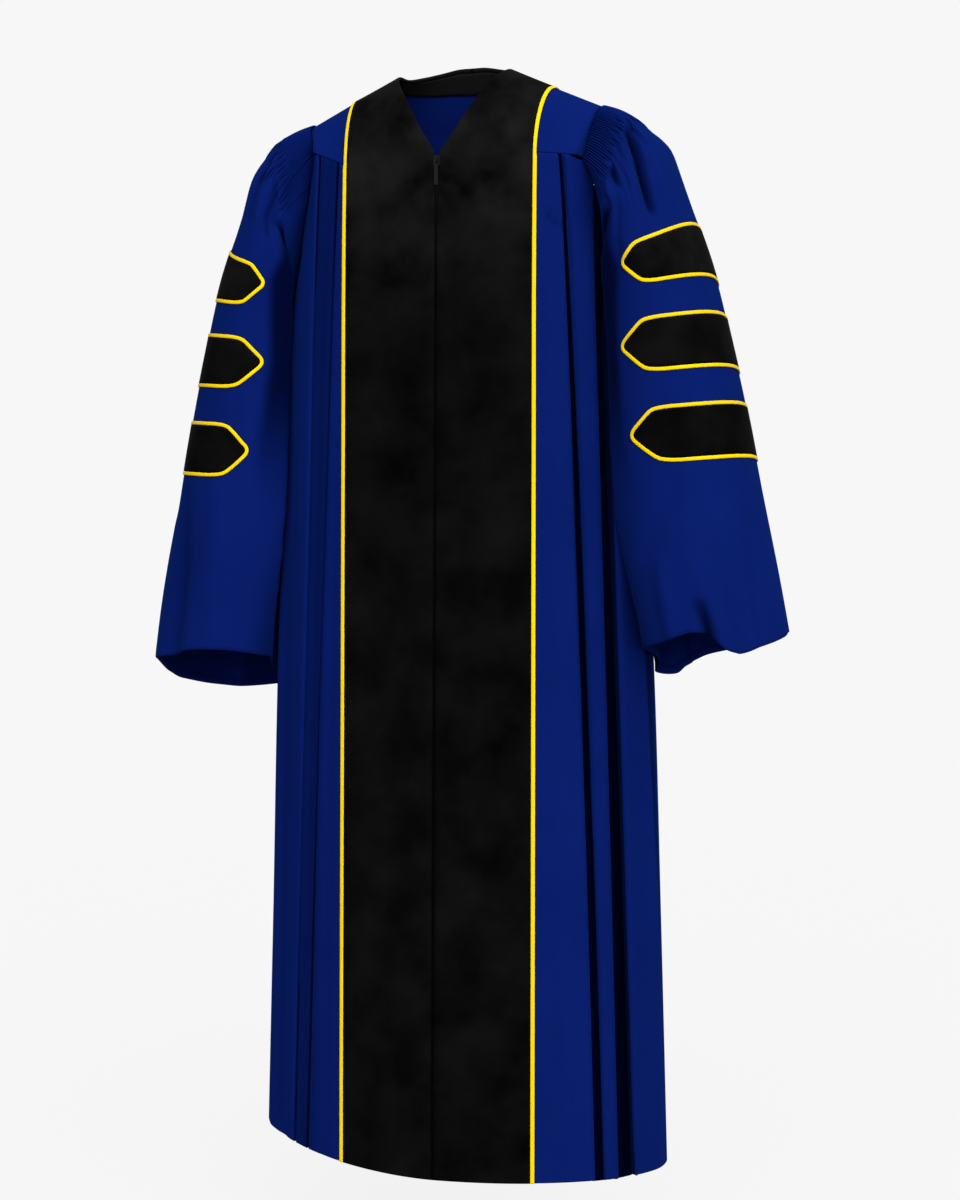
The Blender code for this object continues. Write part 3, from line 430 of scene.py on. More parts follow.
def normals_of(grid, closed=False, inside=(0, 0, None)):
    """Unit vectors out of a grid of points."""
    if closed:
        along = np.roll(grid, -1, axis=1) - np.roll(grid, 1, axis=1)
    else:
        along = np.gradient(grid, axis=1)
    out = unit(np.cross(along, np.gradient(grid, axis=0)))
    away = grid - np.array([v if v is not None else 0.0 for v in inside])
    if inside[2] is None:
        away = away * (1, 1, 0)
    return out if (out * away).sum() > 0 else -out


def marks(across, up, table):
    """Depth of soft creases at each place. A row holds a line of (across, up) points, a width and a depth."""
    total = np.zeros(np.broadcast(across, up).shape)
    for line, wide, deep in table:
        best = np.full(total.shape, 1e9)
        place = np.zeros(total.shape)
        for k, ((x0, y0), (x1, y1)) in enumerate(zip(line, line[1:])):
            run = np.array((x1 - x0, y1 - y0))
            t = np.clip(((across - x0) * run[0] + (up - y0) * run[1]) / (run @ run), 0, 1)
            far = np.hypot(across - x0 - t * run[0], up - y0 - t * run[1])
            nearer = far < best
            best = np.where(nearer, far, best)
            place = np.where(nearer, (k + t) / (len(line) - 1), place)
        fade = 0.35 + 0.65 * np.sin(np.pi * np.clip(0.12 + 0.76 * place, 0, 1))
        total += deep * fade * np.exp(-((best / wide) ** 2))
    return total


# %% [markdown]
# ## Effects shared by the cloths
# Woven cloth shows two things at once: threads, which are under half a millimetre wide, and slow changes
# of tone over a hand's width, from handling and from how the cloth took the dye. Both are node groups, so
# that every cloth here can use them with its own scale. The threads follow the map of cloth distances.

# %% Node groups


def new_group(name, inputs, outputs):
    group = bpy.data.node_groups.new(name, "ShaderNodeTree")
    for label, kind, value in inputs:
        made = group.interface.new_socket(label, in_out="INPUT", socket_type=kind)
        if value is not None:
            made.default_value = value
    for label, kind in outputs:
        group.interface.new_socket(label, in_out="OUTPUT", socket_type=kind)
    return group, group.nodes.new("NodeGroupInput"), group.nodes.new("NodeGroupOutput")


def math_node(tree, what, a, b=None, clamp=False):
    """A Math node fed by sockets or plain numbers. It gives back its result."""
    node = tree.nodes.new("ShaderNodeMath")
    node.operation = what
    node.use_clamp = clamp
    for k, v in enumerate((a, b)):
        if v is None:
            continue
        if isinstance(v, (int, float)):
            node.inputs[k].default_value = v
        else:
            tree.links.new(v, node.inputs[k])
    return node.outputs[0]


def threads_group():
    """Threads over and under each other. Slant turns a plain weave into a twill or a satin."""
    group, given, out = new_group(
        "woven threads",
        [
            ("Vector", "NodeSocketVector", None),
            ("Threads per metre", "NodeSocketFloat", 1500.0),
            ("Slant", "NodeSocketFloat", 0.25),
        ],
        [("Height", "NodeSocketFloat"), ("Shade", "NodeSocketFloat")],
    )
    split = group.nodes.new("ShaderNodeSeparateXYZ")
    group.links.new(given.outputs["Vector"], split.inputs[0])
    turns = math_node(group, "MULTIPLY", given.outputs["Threads per metre"], math.tau)
    u = math_node(group, "MULTIPLY", split.outputs[0], turns)
    v = math_node(group, "MULTIPLY", split.outputs[1], turns)
    warp = math_node(group, "ABSOLUTE", math_node(group, "SINE", math_node(group, "MULTIPLY", u, 0.5)))
    weft = math_node(group, "ABSOLUTE", math_node(group, "SINE", math_node(group, "MULTIPLY", v, 0.5)))
    lean = math_node(group, "MULTIPLY", v, given.outputs["Slant"])
    over = math_node(group, "SINE", math_node(group, "ADD", math_node(group, "MULTIPLY", u, 0.25), lean))
    over = math_node(group, "ADD", math_node(group, "MULTIPLY", over, 2.0), 0.8, clamp=True)
    under = math_node(group, "SUBTRACT", 1.0, over)
    top = math_node(group, "MULTIPLY", warp, over)
    low = math_node(group, "MULTIPLY", math_node(group, "MULTIPLY", weft, under), 0.7)
    height = math_node(group, "ADD", top, low)
    group.links.new(height, out.inputs["Height"])
    group.links.new(over, out.inputs["Shade"])
    return group


def patches_group():
    """Slow cloudy change over the surface, from 0 to 1, with a finer one inside it."""
    group, given, out = new_group(
        "cloudy change",
        [
            ("Vector", "NodeSocketVector", None),
            ("Per metre", "NodeSocketFloat", 9.0),
            ("Contrast", "NodeSocketFloat", 1.6),
        ],
        [("Value", "NodeSocketFloat"), ("Fine", "NodeSocketFloat")],
    )
    for label, times, detail, socket in (("Value", 1.0, 3.0, 0), ("Fine", 11.0, 4.0, 1)):
        noise = group.nodes.new("ShaderNodeTexNoise")
        noise.inputs["Detail"].default_value = detail
        noise.inputs["Roughness"].default_value = 0.55
        group.links.new(given.outputs["Vector"], noise.inputs["Vector"])
        scale = math_node(group, "MULTIPLY", given.outputs["Per metre"], times)
        group.links.new(scale, noise.inputs["Scale"])
        centred = math_node(group, "SUBTRACT", noise.outputs[0], 0.5)
        strong = math_node(group, "MULTIPLY", centred, given.outputs["Contrast"])
        group.links.new(math_node(group, "ADD", strong, 0.5, clamp=True), out.inputs[socket])
    return group


THREADS = threads_group()
CLOUDS = patches_group()
print("node groups:", [g.name for g in (THREADS, CLOUDS)])

# %% [markdown]
# ## Cloths
# The gown cloth is a fine polyester twill with a soft bloom and no gloss. The velvet is the opposite: its
# pile swallows light face on and shows grey where it is seen along the surface, which sheen gives. Its tone
# is also painted lighter on the shoulders and chest, as light from above, and painted darker along the
# centre front seam, as shade in the seam. The piping is satin cut on the bias, so its ribs run aslant.
# Sheen and the other steady numbers are set on the shader, and only what changes over the surface comes
# from nodes. The gown cloth has painted shade where it lies in a pleat, in a tight crease or under an arm:
# those parts are marked on the sheets, and there the colour is darkened towards near black.

# %% Materials


def place_group(tree, group, vector, **values):
    node = tree.nodes.new("ShaderNodeGroup")
    node.node_tree = group
    tree.links.new(vector, node.inputs["Vector"])
    for label, value in values.items():
        node.inputs[label.replace("_", " ")].default_value = value
    return node


def cloth_material(name, dark, light, rough, threads, slant, thread_deep, clouds, cloud_deep, top_light_and_seam_shade=0, tuck_and_painted_shade=0, **steady):
    """A woven cloth: two tones mixed by slow patches, with threads in its bump and a little in its tone.

    Two numbers paint light and shade into the tone. The first keeps the full tone on the shoulders and chest and
    darkens it lower down, as painted light from above, and also paints a thin shade along the centre front seam.
    The second sets how far the colour is darkened where a sheet marks painted shade, in folds and under the arms.
    """
    material = bpy.data.materials.new(name)
    material.use_nodes = True
    tree = material.node_tree
    shader = tree.nodes["Principled BSDF"]
    for label, value in steady.items():
        shader.inputs[label.replace("_", " ")].default_value = value
    cloth_map = tree.nodes.new("ShaderNodeUVMap")
    cloth_map.uv_map = "cloth"
    place = tree.nodes.new("ShaderNodeTexCoord").outputs["Object"]
    weave = place_group(tree, THREADS, cloth_map.outputs[0], Threads_per_metre=threads, Slant=slant)
    cloud = place_group(tree, CLOUDS, place, Per_metre=clouds[0], Contrast=clouds[1])
    tone = math_node(tree, "MULTIPLY", cloud.outputs["Value"], 1 - clouds[2])
    tone = math_node(tree, "ADD", tone, math_node(tree, "MULTIPLY", weave.outputs["Shade"], clouds[2]), True)
    # Painted light from above: the tone is kept full on the shoulders and chest and darkened lower down. Painted shade
    # also darkens a thin line along the centre front seam.
    if top_light_and_seam_shade:
        high = tree.nodes.new("ShaderNodeSeparateXYZ")
        tree.links.new(place, high.inputs[0])
        up = math_node(tree, "MULTIPLY", math_node(tree, "ADD", high.outputs["Z"], 0.34), 1 / 0.17, True)
        up = math_node(tree, "ADD", math_node(tree, "MULTIPLY", up, top_light_and_seam_shade), 1 - top_light_and_seam_shade)
        tone = math_node(tree, "MULTIPLY", tone, up)
        outside_seam_shade = math_node(tree, "SUBTRACT", math_node(tree, "ABSOLUTE", high.outputs["X"]), 0.0006)
        tone = math_node(tree, "MULTIPLY", tone, math_node(tree, "MULTIPLY", outside_seam_shade, 1 / 0.0022, True))
    mix = tree.nodes.new("ShaderNodeMix")
    mix.data_type = "RGBA"
    mix.inputs["A"].default_value = (*dark, 1)
    mix.inputs["B"].default_value = (*light, 1)
    tree.links.new(tone, mix.inputs["Factor"])
    colour = mix.outputs["Result"]
    # Painted shade: the colour is darkened towards near black where the sheet marks shade in a fold or under an arm.
    if tuck_and_painted_shade:
        shade_mask = tree.nodes.new("ShaderNodeAttribute")
        shade_mask.attribute_name = "fold_and_painted_shade"
        deep = tree.nodes.new("ShaderNodeMix")
        deep.data_type = "RGBA"
        tree.links.new(math_node(tree, "MULTIPLY", shade_mask.outputs["Fac"], tuck_and_painted_shade), deep.inputs["Factor"])
        tree.links.new(colour, deep.inputs["A"])
        deep.inputs["B"].default_value = (0.0001, 0.0004, 0.004, 1)
        colour = deep.outputs["Result"]
    tree.links.new(colour, shader.inputs["Base Color"])
    soft = math_node(tree, "MULTIPLY", cloud.outputs["Fine"], rough[1] - rough[0])
    tree.links.new(math_node(tree, "ADD", soft, rough[0], True), shader.inputs["Roughness"])
    height = math_node(tree, "MULTIPLY", weave.outputs["Height"], thread_deep)
    height = math_node(tree, "ADD", height, math_node(tree, "MULTIPLY", cloud.outputs["Fine"], cloud_deep))
    bump = tree.nodes.new("ShaderNodeBump")
    bump.inputs["Distance"].default_value = 1.0
    bump.inputs["Strength"].default_value = 1.0
    tree.links.new(height, bump.inputs["Height"])
    tree.links.new(bump.outputs[0], shader.inputs["Normal"])
    return material


GOWN_CLOTH = cloth_material(
    "blue gown twill",
    (0.0015, 0.0062, 0.067),
    (0.0020, 0.0082, 0.086),
    (0.60, 0.75),
    2200,
    0.25,
    0.00006,
    (7.0, 1.5, 0.25),
    0.00010,
    # How far the painted shade in folds and under the arms darkens the cloth.
    tuck_and_painted_shade=0.92,
    Sheen_Weight=0.05,
    Sheen_Roughness=0.45,
    Sheen_Tint=(0.03, 0.20, 1.0, 1),
    Specular_IOR_Level=0.0,
)
VELVET = cloth_material(
    "black velvet",
    (0.0007, 0.0007, 0.0007),
    (0.0080, 0.0080, 0.0080),
    (0.80, 0.98),
    1300,
    0.5,
    0.00003,
    (14.0, 2.2, 0.10),
    0.0003,
    # Painted light from above on the shoulders and chest, and painted shade along the centre front seam.
    top_light_and_seam_shade=0.60,
    Sheen_Weight=0.022,
    Sheen_Roughness=0.30,
    Sheen_Tint=(0.8, 0.8, 0.82, 1),
    Specular_IOR_Level=0.0,
)
PIPING = cloth_material(
    "yellow piping satin",
    (0.56, 0.38, 0.0),
    (0.66, 0.46, 0.0),
    (0.38, 0.52),
    1400,
    0.5,
    0.00005,
    (30.0, 1.2, 0.35),
    0.00005,
    Sheen_Weight=0.02,
    Sheen_Tint=(1.0, 0.8, 0.1, 1),
    IOR=1.15,
    Specular_Tint=(1.0, 0.85, 0.3, 1),
)
FACING = cloth_material(
    "black facing cloth",
    (0.0024, 0.0024, 0.0026),
    (0.0044, 0.0044, 0.0046),
    (0.60, 0.80),
    1800,
    0.5,
    0.00008,
    (12.0, 1.4, 0.25),
    0.0001,
    Sheen_Weight=0.01,
    IOR=1.10,
)
ZIP_TAPE = cloth_material(
    "black zip tape",
    (0.0010, 0.0010, 0.0010),
    (0.0024, 0.0024, 0.0024),
    (0.55, 0.75),
    900,
    0.25,
    0.00012,
    (20.0, 1.2, 0.35),
    0.00005,
    IOR=1.10,
)


def metal_material(name, colour, worn, rough):
    """Black painted metal that shows a little bare metal where the paint is thin."""
    material = bpy.data.materials.new(name)
    material.use_nodes = True
    tree = material.node_tree
    shader = tree.nodes["Principled BSDF"]
    place = tree.nodes.new("ShaderNodeTexCoord").outputs["Object"]
    cloud = place_group(tree, CLOUDS, place, Per_metre=220.0, Contrast=3.0)
    wear = math_node(tree, "SUBTRACT", math_node(tree, "MULTIPLY", cloud.outputs["Value"], 2.0), 1.3, True)
    mix = tree.nodes.new("ShaderNodeMix")
    mix.data_type = "RGBA"
    mix.inputs["A"].default_value = (*colour, 1)
    mix.inputs["B"].default_value = (*worn, 1)
    tree.links.new(wear, mix.inputs["Factor"])
    tree.links.new(mix.outputs["Result"], shader.inputs["Base Color"])
    rough_now = math_node(tree, "MULTIPLY", cloud.outputs["Fine"], rough[1] - rough[0])
    tree.links.new(math_node(tree, "ADD", rough_now, rough[0], True), shader.inputs["Roughness"])
    shader.inputs["IOR"].default_value = 1.16
    return material


ZIP_METAL = metal_material("black zip metal", (0.0012, 0.0012, 0.0013), (0.0060, 0.0060, 0.0060), (0.22, 0.36))
print("materials:", len(bpy.data.materials))

# %% [markdown]
# ## Body cloth: where a column of points runs
# The fronts hang straight under the arms and are stretched a little at the top to meet the sloping yoke
# seam, and at the foot to follow the hem. The pressed pleats are part of the pattern: a column of points
# runs down each edge and each fold of a pleat.

# %% Lines of the body


def yoke_z(x, side):
    start = VELVET_X + PIPING_STEP
    return YOKE_Z + YOKE_OUTER_RISE[side] * max(0.0, (x - start) / (CORNER_X - start))


def along(points, fraction):
    """The point a fraction of the way along a line of points."""
    steps = np.append(0, np.cumsum(np.linalg.norm(np.diff(points, axis=0), axis=1)))
    return np.array([np.interp(fraction * steps[-1], steps, points[:, k]) for k in range(3)])


def fine_line(points, per=8):
    keys = np.arange(len(points))
    spots = np.linspace(0, len(points) - 1, per * (len(points) - 1) + 1)
    return np.array([smooth_rows(keys, points, v) for v in spots])


TOP_KEYS = np.arange(len(TOP))


def top_lines(t, side=1):
    """Neck, velvet and outer points at a place over the shoulder."""
    lines = TOP[0] + (TOP[1] - TOP[0]) * t if t < 1 else smooth_rows(TOP_KEYS, TOP, t)
    lines = lines.copy()
    corner_shift = YOKE_Z + YOKE_OUTER_RISE[side] - TOP[0, 2, 2]
    lines[2, 2] += corner_shift * float(1 - smooth_step(0, 3.5, t))
    return lines


def lower_armhole(side):
    return fine_line(np.vstack([top_lines(0, side)[2], UNDERARM, TOP[BACK_CORNER, 2]]))


LOWER_ARMHOLE = {side: lower_armhole(side) for side in (1, -1)}
MIDDLE = 8 * (UNDERARM_MIDDLE + 1)
BACK_ARMHOLE = LOWER_ARMHOLE[1][MIDDLE:]
BACK_SEAM = np.array([top_lines(t)[2] for t in np.linspace(BACK_CORNER, CENTRE_BACK, 33)])


def remap(z_row, top, hem):
    """A standard level, stretched to a column's own top and hem."""
    if z_row > STRAIGHT_Z:
        part = (z_row - STRAIGHT_Z) / (YOKE_Z - STRAIGHT_Z)
        return STRAIGHT_Z + (top - STRAIGHT_Z) * part
    if z_row < HEM_BLEND_Z:
        part = (z_row - HEM_BLEND_Z) / (HEM_Z - HEM_BLEND_Z)
        return HEM_BLEND_Z + (hem - HEM_BLEND_Z) * part
    return z_row


def stand_out(point, side):
    """Moves a point of the body sideways, most at the side seam and not at all on the chest."""
    share = float(smooth_step(0.13, 0.25, abs(point[0])) * smooth_step(-0.34, -0.60, point[2]))
    return point + (side * SIDE_WIDER[side] * share, 0, 0)


# %% Pressed pleats of the fronts
PLEATS = (
    # side, x_top, x_hem, path, wide_top, wide_hem, deep_top, deep_hem
    (-1, 0.1385, 0.1850, 1.00, 0.0038, 0.0062, 0.0070, 0.0150),
    (-1, 0.1670, 0.2080, 1.00, 0.0034, 0.0056, 0.0040, 0.0090),
    (1, 0.1574, 0.2080, 0.70, 0.0036, 0.0100, 0.0040, 0.0130),
    (1, 0.2015, 0.2390, 0.90, 0.0130, 0.0185, 0.0120, 0.0330),
)
# How far a pleat runs on under the cloth behind it, as a part of its mouth.
UNDERCUT = {1: 0.9, -1: 0.2}
# How much painted shade lies on the cloth just before and just after each pleat.
PLEAT_SIDE_SHADE = {1: ((0.0, 0.1), (0.1, 0.1)), -1: ((0.2, 0.5), (0.3, 0.0))}
HEM_IN_FOLD = 0.35
PANEL_STEPS = 28
CHEST_COLUMNS = tuple(0.006 + (VELVET_X - 0.006) * k / PANEL_STEPS for k in range(1, PANEL_STEPS))


def front_columns(side):
    """Main columns of one front: a place rule, how deep the cloth goes into a pleat there, its path, and how much
    painted shade it carries.
    """
    columns = [("gap", 0, 0, 0, 0, 1, 0)]
    for x in (*CHEST_COLUMNS, VELVET_X, VELVET_X + PIPING_STEP):
        columns.append(("x", x, x, 0, 0, 1, 0))
    last = columns[-1]
    for number, (_, x0, x1, path, wide0, wide1, deep0, deep1) in enumerate([p for p in PLEATS if p[0] == side]):
        before, after = PLEAT_SIDE_SHADE[side][number]
        # The walls and floor of each pleat get full painted shade, and the cloth at its edges gets the amounts listed.
        for part, deep, dark in ((-0.5, 0, before), (-0.45, 1, 1), (0.45 + UNDERCUT[side], 1, 1), (0.5, 0, after)):
            columns.append(("x", x0 + part * wide0, x1 + part * wide1, deep * deep0, deep * deep1, path, dark))
        last = columns[-1]
    columns.append(("side", 1, last[1], last[2], 0, last[5], 0))
    return columns


def front_s(column, z):
    """Where a front column crosses a level, as a distance from the centre front."""
    here = ring(z)
    kind, a, b, c, _, path, _ = column
    down = max(0.0, (z - YOKE_Z) / (HEM_Z - YOKE_Z)) ** path
    if kind == "gap":
        return here.of_x(np.interp(z, GAP_TABLE[:, 0], GAP_TABLE[:, 1]))
    if kind == "x":
        return here.of_x(a + (b - a) * down)
    return here.side - SEAM / 2


def fine_columns(columns):
    """Places between the main columns: the number of the one before, and how far on to the next."""
    places = []
    for k in range(len(columns) - 1):
        wide = front_s(columns[k + 1], -0.9) - front_s(columns[k], -0.9)
        fold_and_painted_shade = columns[k][4] > 0 or columns[k + 1][4] > 0
        count = 5 if fold_and_painted_shade else max(1, round(wide / 0.0055))
        if k <= PANEL_STEPS:
            count = 1
        places += [(k, j / count) for j in range(count)]
    return places + [(len(columns) - 2, 1.0)]


def front_point(side, columns, place, z_row):
    """A point on the outer face of a front, and its distance from the centre front."""
    k, f = place
    a, b = columns[k], columns[k + 1]

    def spot(z):
        return front_s(a, z) + (front_s(b, z) - front_s(a, z)) * f

    reference = ring(-0.300)
    corner = reference.of_x(CORNER_X)
    s_ref = spot(-0.300)
    target = None
    if s_ref <= corner:
        x_top = ring(YOKE_Z).point(spot(YOKE_Z))[0]
        top = yoke_z(x_top, side) - SEAM / 2
    else:
        part = (s_ref - corner) / (reference.side - corner)
        target = along(LOWER_ARMHOLE[side][: MIDDLE + 1], part)
        top = target[2]
    x_hem, _ = ring(HEM_Z).point(spot(HEM_Z))
    hem = HEM_Z + HEM_SIDE_RISE[side] * min(1.0, abs(x_hem) / ring(HEM_Z).wide) ** 1.7
    # The folded cloth hangs a little lower, so that its hem shows level with the rest from the front.
    hem -= HEM_IN_FOLD * (a[4] + (b[4] - a[4]) * f)
    z = remap(z_row, top, hem)
    s = spot(z)
    grow = float(smooth_step(0, 0.16, (z - YOKE_Z) / (HEM_Z - YOKE_Z)))
    deep_a = a[3] + (a[4] - a[3]) * grow if a[0] == "x" else 0.0
    deep_b = b[3] + (b[4] - b[3]) * grow if b[0] == "x" else 0.0
    deep = deep_a + (deep_b - deep_a) * float(smooth_step(0, 1, f))
    x, y = ring(z).point(s)
    nx, ny = ring(z).normal(s)
    point = np.array((x - nx * deep, y - ny * deep, z))
    if target is not None:
        x0, y0 = ring(top).point(spot(top))
        held = 1 - float(smooth_step(0, 0.16, top - z))
        point = point + (target - np.array((x0, y0, top))) * held
        if deep:
            point[:2] += np.array((nx, ny)) * deep * held
    return stand_out(point * (side, 1, 1), side), s


# %% [markdown]
# ## The two fronts
# The rows are 8 mm apart. The cloth between the pleats is not flat either: it hangs in long shallow
# rolls that grow towards the hem, so slow ridges and hollows are laid on it, each with its own
# place, width and height. They differ from side to side, as they do on the real gown.

# %% Fronts
FRONT_STEP = 0.0082
ROLLS = {
    # line of (distance from the centre front, z) points, width, height
    1: (
        (((0.150, -0.30), (0.158, -0.70), (0.170, -1.40)), 0.014, 0.0022),
        (((0.178, -0.22), (0.186, -0.60), (0.205, -1.00)), 0.010, -0.0018),
        (((0.232, -0.45), (0.245, -0.90), (0.262, -1.40)), 0.013, 0.0030),
        (((0.283, -0.70), (0.290, -0.82), (0.298, -0.95), (0.310, -1.13)), 0.007, 0.0045),
        (((0.303, -0.70), (0.310, -0.88), (0.318, -1.05)), 0.013, -0.0080),
        (((0.300, -0.95), (0.310, -1.42)), 0.014, 0.0035),
        (((0.142, -0.205), (0.158, -0.222), (0.170, -0.229)), 0.006, -0.0016),
        (((0.150, -0.236), (0.164, -0.250)), 0.005, 0.0009),
    ),
    -1: (
        (((0.150, -0.24), (0.160, -0.60), (0.172, -1.40)), 0.008, 0.0028),
        (((0.141, -0.50), (0.150, -0.90), (0.160, -1.42)), 0.007, -0.0020),
        (((0.178, -0.30), (0.196, -0.80), (0.205, -1.20)), 0.009, 0.0030),
        (((0.215, -0.36), (0.232, -0.80), (0.240, -1.42)), 0.009, -0.0034),
        (((0.250, -0.45), (0.262, -0.90), (0.275, -1.40)), 0.013, 0.0040),
        (((0.292, -0.60), (0.300, -1.05)), 0.014, -0.0040),
    ),
}
PANEL_WAVES = (
    # line, width, height: the velvet and what is under it
    (((0.020, -0.30), (0.028, -0.62)), 0.018, 0.0010),
    (((0.060, -0.18), (0.066, -0.42)), 0.020, -0.0009),
    (((0.096, -0.36), (0.090, -0.74)), 0.018, 0.0010),
    (((0.045, -0.70), (0.060, -1.10)), 0.022, -0.0010),
    (((0.100, -0.92), (0.108, -1.36)), 0.018, 0.0010),
    (((0.018, -0.98), (0.026, -1.34)), 0.014, 0.0009),
    (((0.010, -0.42), (0.032, -0.45)), 0.006, -0.0005),
    (((0.010, -0.56), (0.030, -0.548)), 0.006, -0.0005),
    (((0.012, -0.67), (0.034, -0.69)), 0.006, -0.0004),
    (((0.118, -0.61), (0.098, -0.60)), 0.006, -0.0005),
    (((0.118, -0.75), (0.096, -0.765)), 0.006, -0.0004),
)


# Painted shade in the hollows between two rolls, where the cloth turns in: line, width, how dark.
CREASE_SHADE = {
    1: (
        (((0.306, -0.66), (0.312, -0.80), (0.320, -0.98), (0.328, -1.12)), 0.012, 0.60),
        (((0.141, -0.206), (0.157, -0.222)), 0.003, 0.45),
    ),
    -1: (
        (((0.232, -0.30), (0.240, -0.90), (0.250, -1.40)), 0.006, 0.30),
    ),
}


def front_grid(side):
    columns = front_columns(side)
    places = fine_columns(columns)
    levels = [HEM_Z, HEM_Z + 0.002, *np.arange(HEM_Z + FRONT_STEP, YOKE_Z - 0.003, FRONT_STEP), YOKE_Z]
    grid, spots = [], []
    for z_row in levels:
        made = [front_point(side, columns, p, z_row) for p in places]
        grid.append([m[0] for m in made])
        spots.append([m[1] for m in made])
    grid, spots = np.array(grid), np.array(spots)
    out = normals_of(grid)
    top_fade = smooth_step(YOKE_Z, YOKE_Z - 0.05, grid[:, :, 2])
    amount = marks(spots, grid[:, :, 2], ROLLS[side]) + marks(spots, grid[:, :, 2], PANEL_WAVES)
    edge_fade = np.minimum(1, (np.arange(len(places))[::-1] / 4))[None, :]
    # Painted shade: in and beside the pleats, near the side seam under the arm, and in the hollows between rolls.
    dark = np.array([columns[k][6] + (columns[k + 1][6] - columns[k][6]) * f for k, f in places])[None, :]
    arm_shade = np.exp(-(((spots[:, -1:] - spots) / 0.024) ** 2)) * smooth_step(-0.44, -0.34, grid[:, :, 2])
    dark = np.maximum(np.maximum(dark, 0.9 * arm_shade), marks(spots, grid[:, :, 2], CREASE_SHADE[side]))
    return grid + out * (amount * top_fade * edge_fade)[:, :, None], dark


FRONT = {}
for side, word in ((1, "left"), (-1, "right")):
    FRONT[side], fold_and_painted_shade = front_grid(side)
    piece = cloth_piece("front_panel_" + word, FRONT[side], GOWN_CLOTH, fold_and_painted_shade=fold_and_painted_shade)
    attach(piece, "gown")
    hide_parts("front_" + word)
    print(piece.name, FRONT[side].shape[:2])

# %% [markdown]
# ## Shoulder pieces and back yoke
# A yoke is a flat shaped piece that carries the rest. Its rows run across, from the neck to the armhole,
# and step over the shoulder from the front seam to the shoulder seam. The back yoke carries on from there
# round the back of the neck to the other shoulder.

# %% Yokes
OUTER_STEPS = 10
OUTER_PARTS = tuple(k / OUTER_STEPS for k in range(1, OUTER_STEPS))
EDGE = PANEL_STEPS + 1


def top_row(t, side):
    """Points across the shoulder piece at a place along it, from the neck outwards."""
    neck, velvet, outer = top_lines(t, side)
    edge = velvet + unit(outer - velvet) * PIPING_STEP
    first = ring(YOKE_Z)
    low_neck, low_velvet, low_outer = top_lines(0, side)
    parts = [(x - low_neck[0]) / (VELVET_X - low_neck[0]) for x in CHEST_COLUMNS]
    points = [neck] + [neck + (velvet - neck) * p for p in parts] + [velvet, edge]
    points += [edge + (outer - edge) * p for p in OUTER_PARTS] + [outer]
    fade = float(1 - smooth_step(0, 3, t))
    seam_fade = float(1 - smooth_step(0, 1.5, t))
    low_edge = low_velvet + unit(low_outer - low_velvet) * PIPING_STEP
    base = [low_neck] + [low_neck + (low_velvet - low_neck) * p for p in parts] + [low_velvet, low_edge]
    base += [low_edge + (low_outer - low_edge) * p for p in OUTER_PARTS]
    for k, low in enumerate(base):
        _, y = first.point(first.of_x(low[0]))
        points[k] = points[k] + (0, (y - low[1]) * fade, (yoke_z(low[0], side) - low[2]) * seam_fade)
    return np.array(points) * (side, 1, 1)


YOKE = {}
for side, word in ((1, "left"), (-1, "right")):
    spots = np.linspace(0, SHOULDER_SEAM - 0.007, 52)
    grid = np.array([top_row(t, side) for t in spots])
    grid[0, :, 2] += SEAM / 2
    YOKE[side] = grid
    piece = cloth_piece("shoulder_piece_" + word, grid, GOWN_CLOTH, inside=(0.1 * side, 0, -0.25))
    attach(piece, "gown")
    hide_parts("yoke_" + word)

spots = np.linspace(SHOULDER_SEAM + 0.007, CENTRE_BACK, 46)
YOKE_BACK = np.array([top_row(t, 1) for t in spots] + [top_row(t, -1) for t in spots[-2::-1]])
YOKE_BACK[:, -1, 2] += np.where(YOKE_BACK[:, -1, 2] < -0.110, SEAM, 0)
piece = cloth_piece("back_yoke", YOKE_BACK, GOWN_CLOTH, inside=(0, 0, -0.2))
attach(piece, "gown")
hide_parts("yoke_back")
print("yokes:", YOKE[1].shape[:2], YOKE_BACK.shape[:2])

# %% [markdown]
# ## The back
# Under the back yoke the full width of cloth is drawn up in cartridge pleats, small upright pipes that
# stand side by side. Five centimetres down they are let go: first they join into finger wide folds, and
# those run into the broad folds that reach the hem. The pipes need several points each, so only the top
# rows have that many, and a strip of triangles leads over to the wider rows below.

# %% Back panel
BACK_FOLDS = (
    # place from the left side seam (0) to the right (1), half width, depth
    (0.10, 0.030, 0.008),
    (0.215, 0.026, 0.016),
    (0.325, 0.022, 0.020),
    (0.43, 0.024, 0.017),
    (0.545, 0.022, 0.021),
    (0.655, 0.024, 0.018),
    (0.78, 0.026, 0.016),
    (0.90, 0.030, 0.009),
)
CORNER_PART = 0.30
FLUTE_PITCH = 0.0036
FLUTE_HIGH = 0.0030
BACK_FLUTE_LONG = 0.050
PER_FLUTE = 6
rng = np.random.default_rng(11)


def back_top(place):
    """Top point of a back column, on the armhole or on the yoke seam."""
    side = 1 if place >= 0.5 else -1
    part = 1 - abs(place - 0.5) * 2
    if part < CORNER_PART:
        return along(BACK_ARMHOLE, part / CORNER_PART) * (side, 1, 1)
    point = along(BACK_SEAM, (part - CORNER_PART) / (1 - CORNER_PART))
    return (point - (0, 0, SEAM / 2)) * (side, 1, 1)


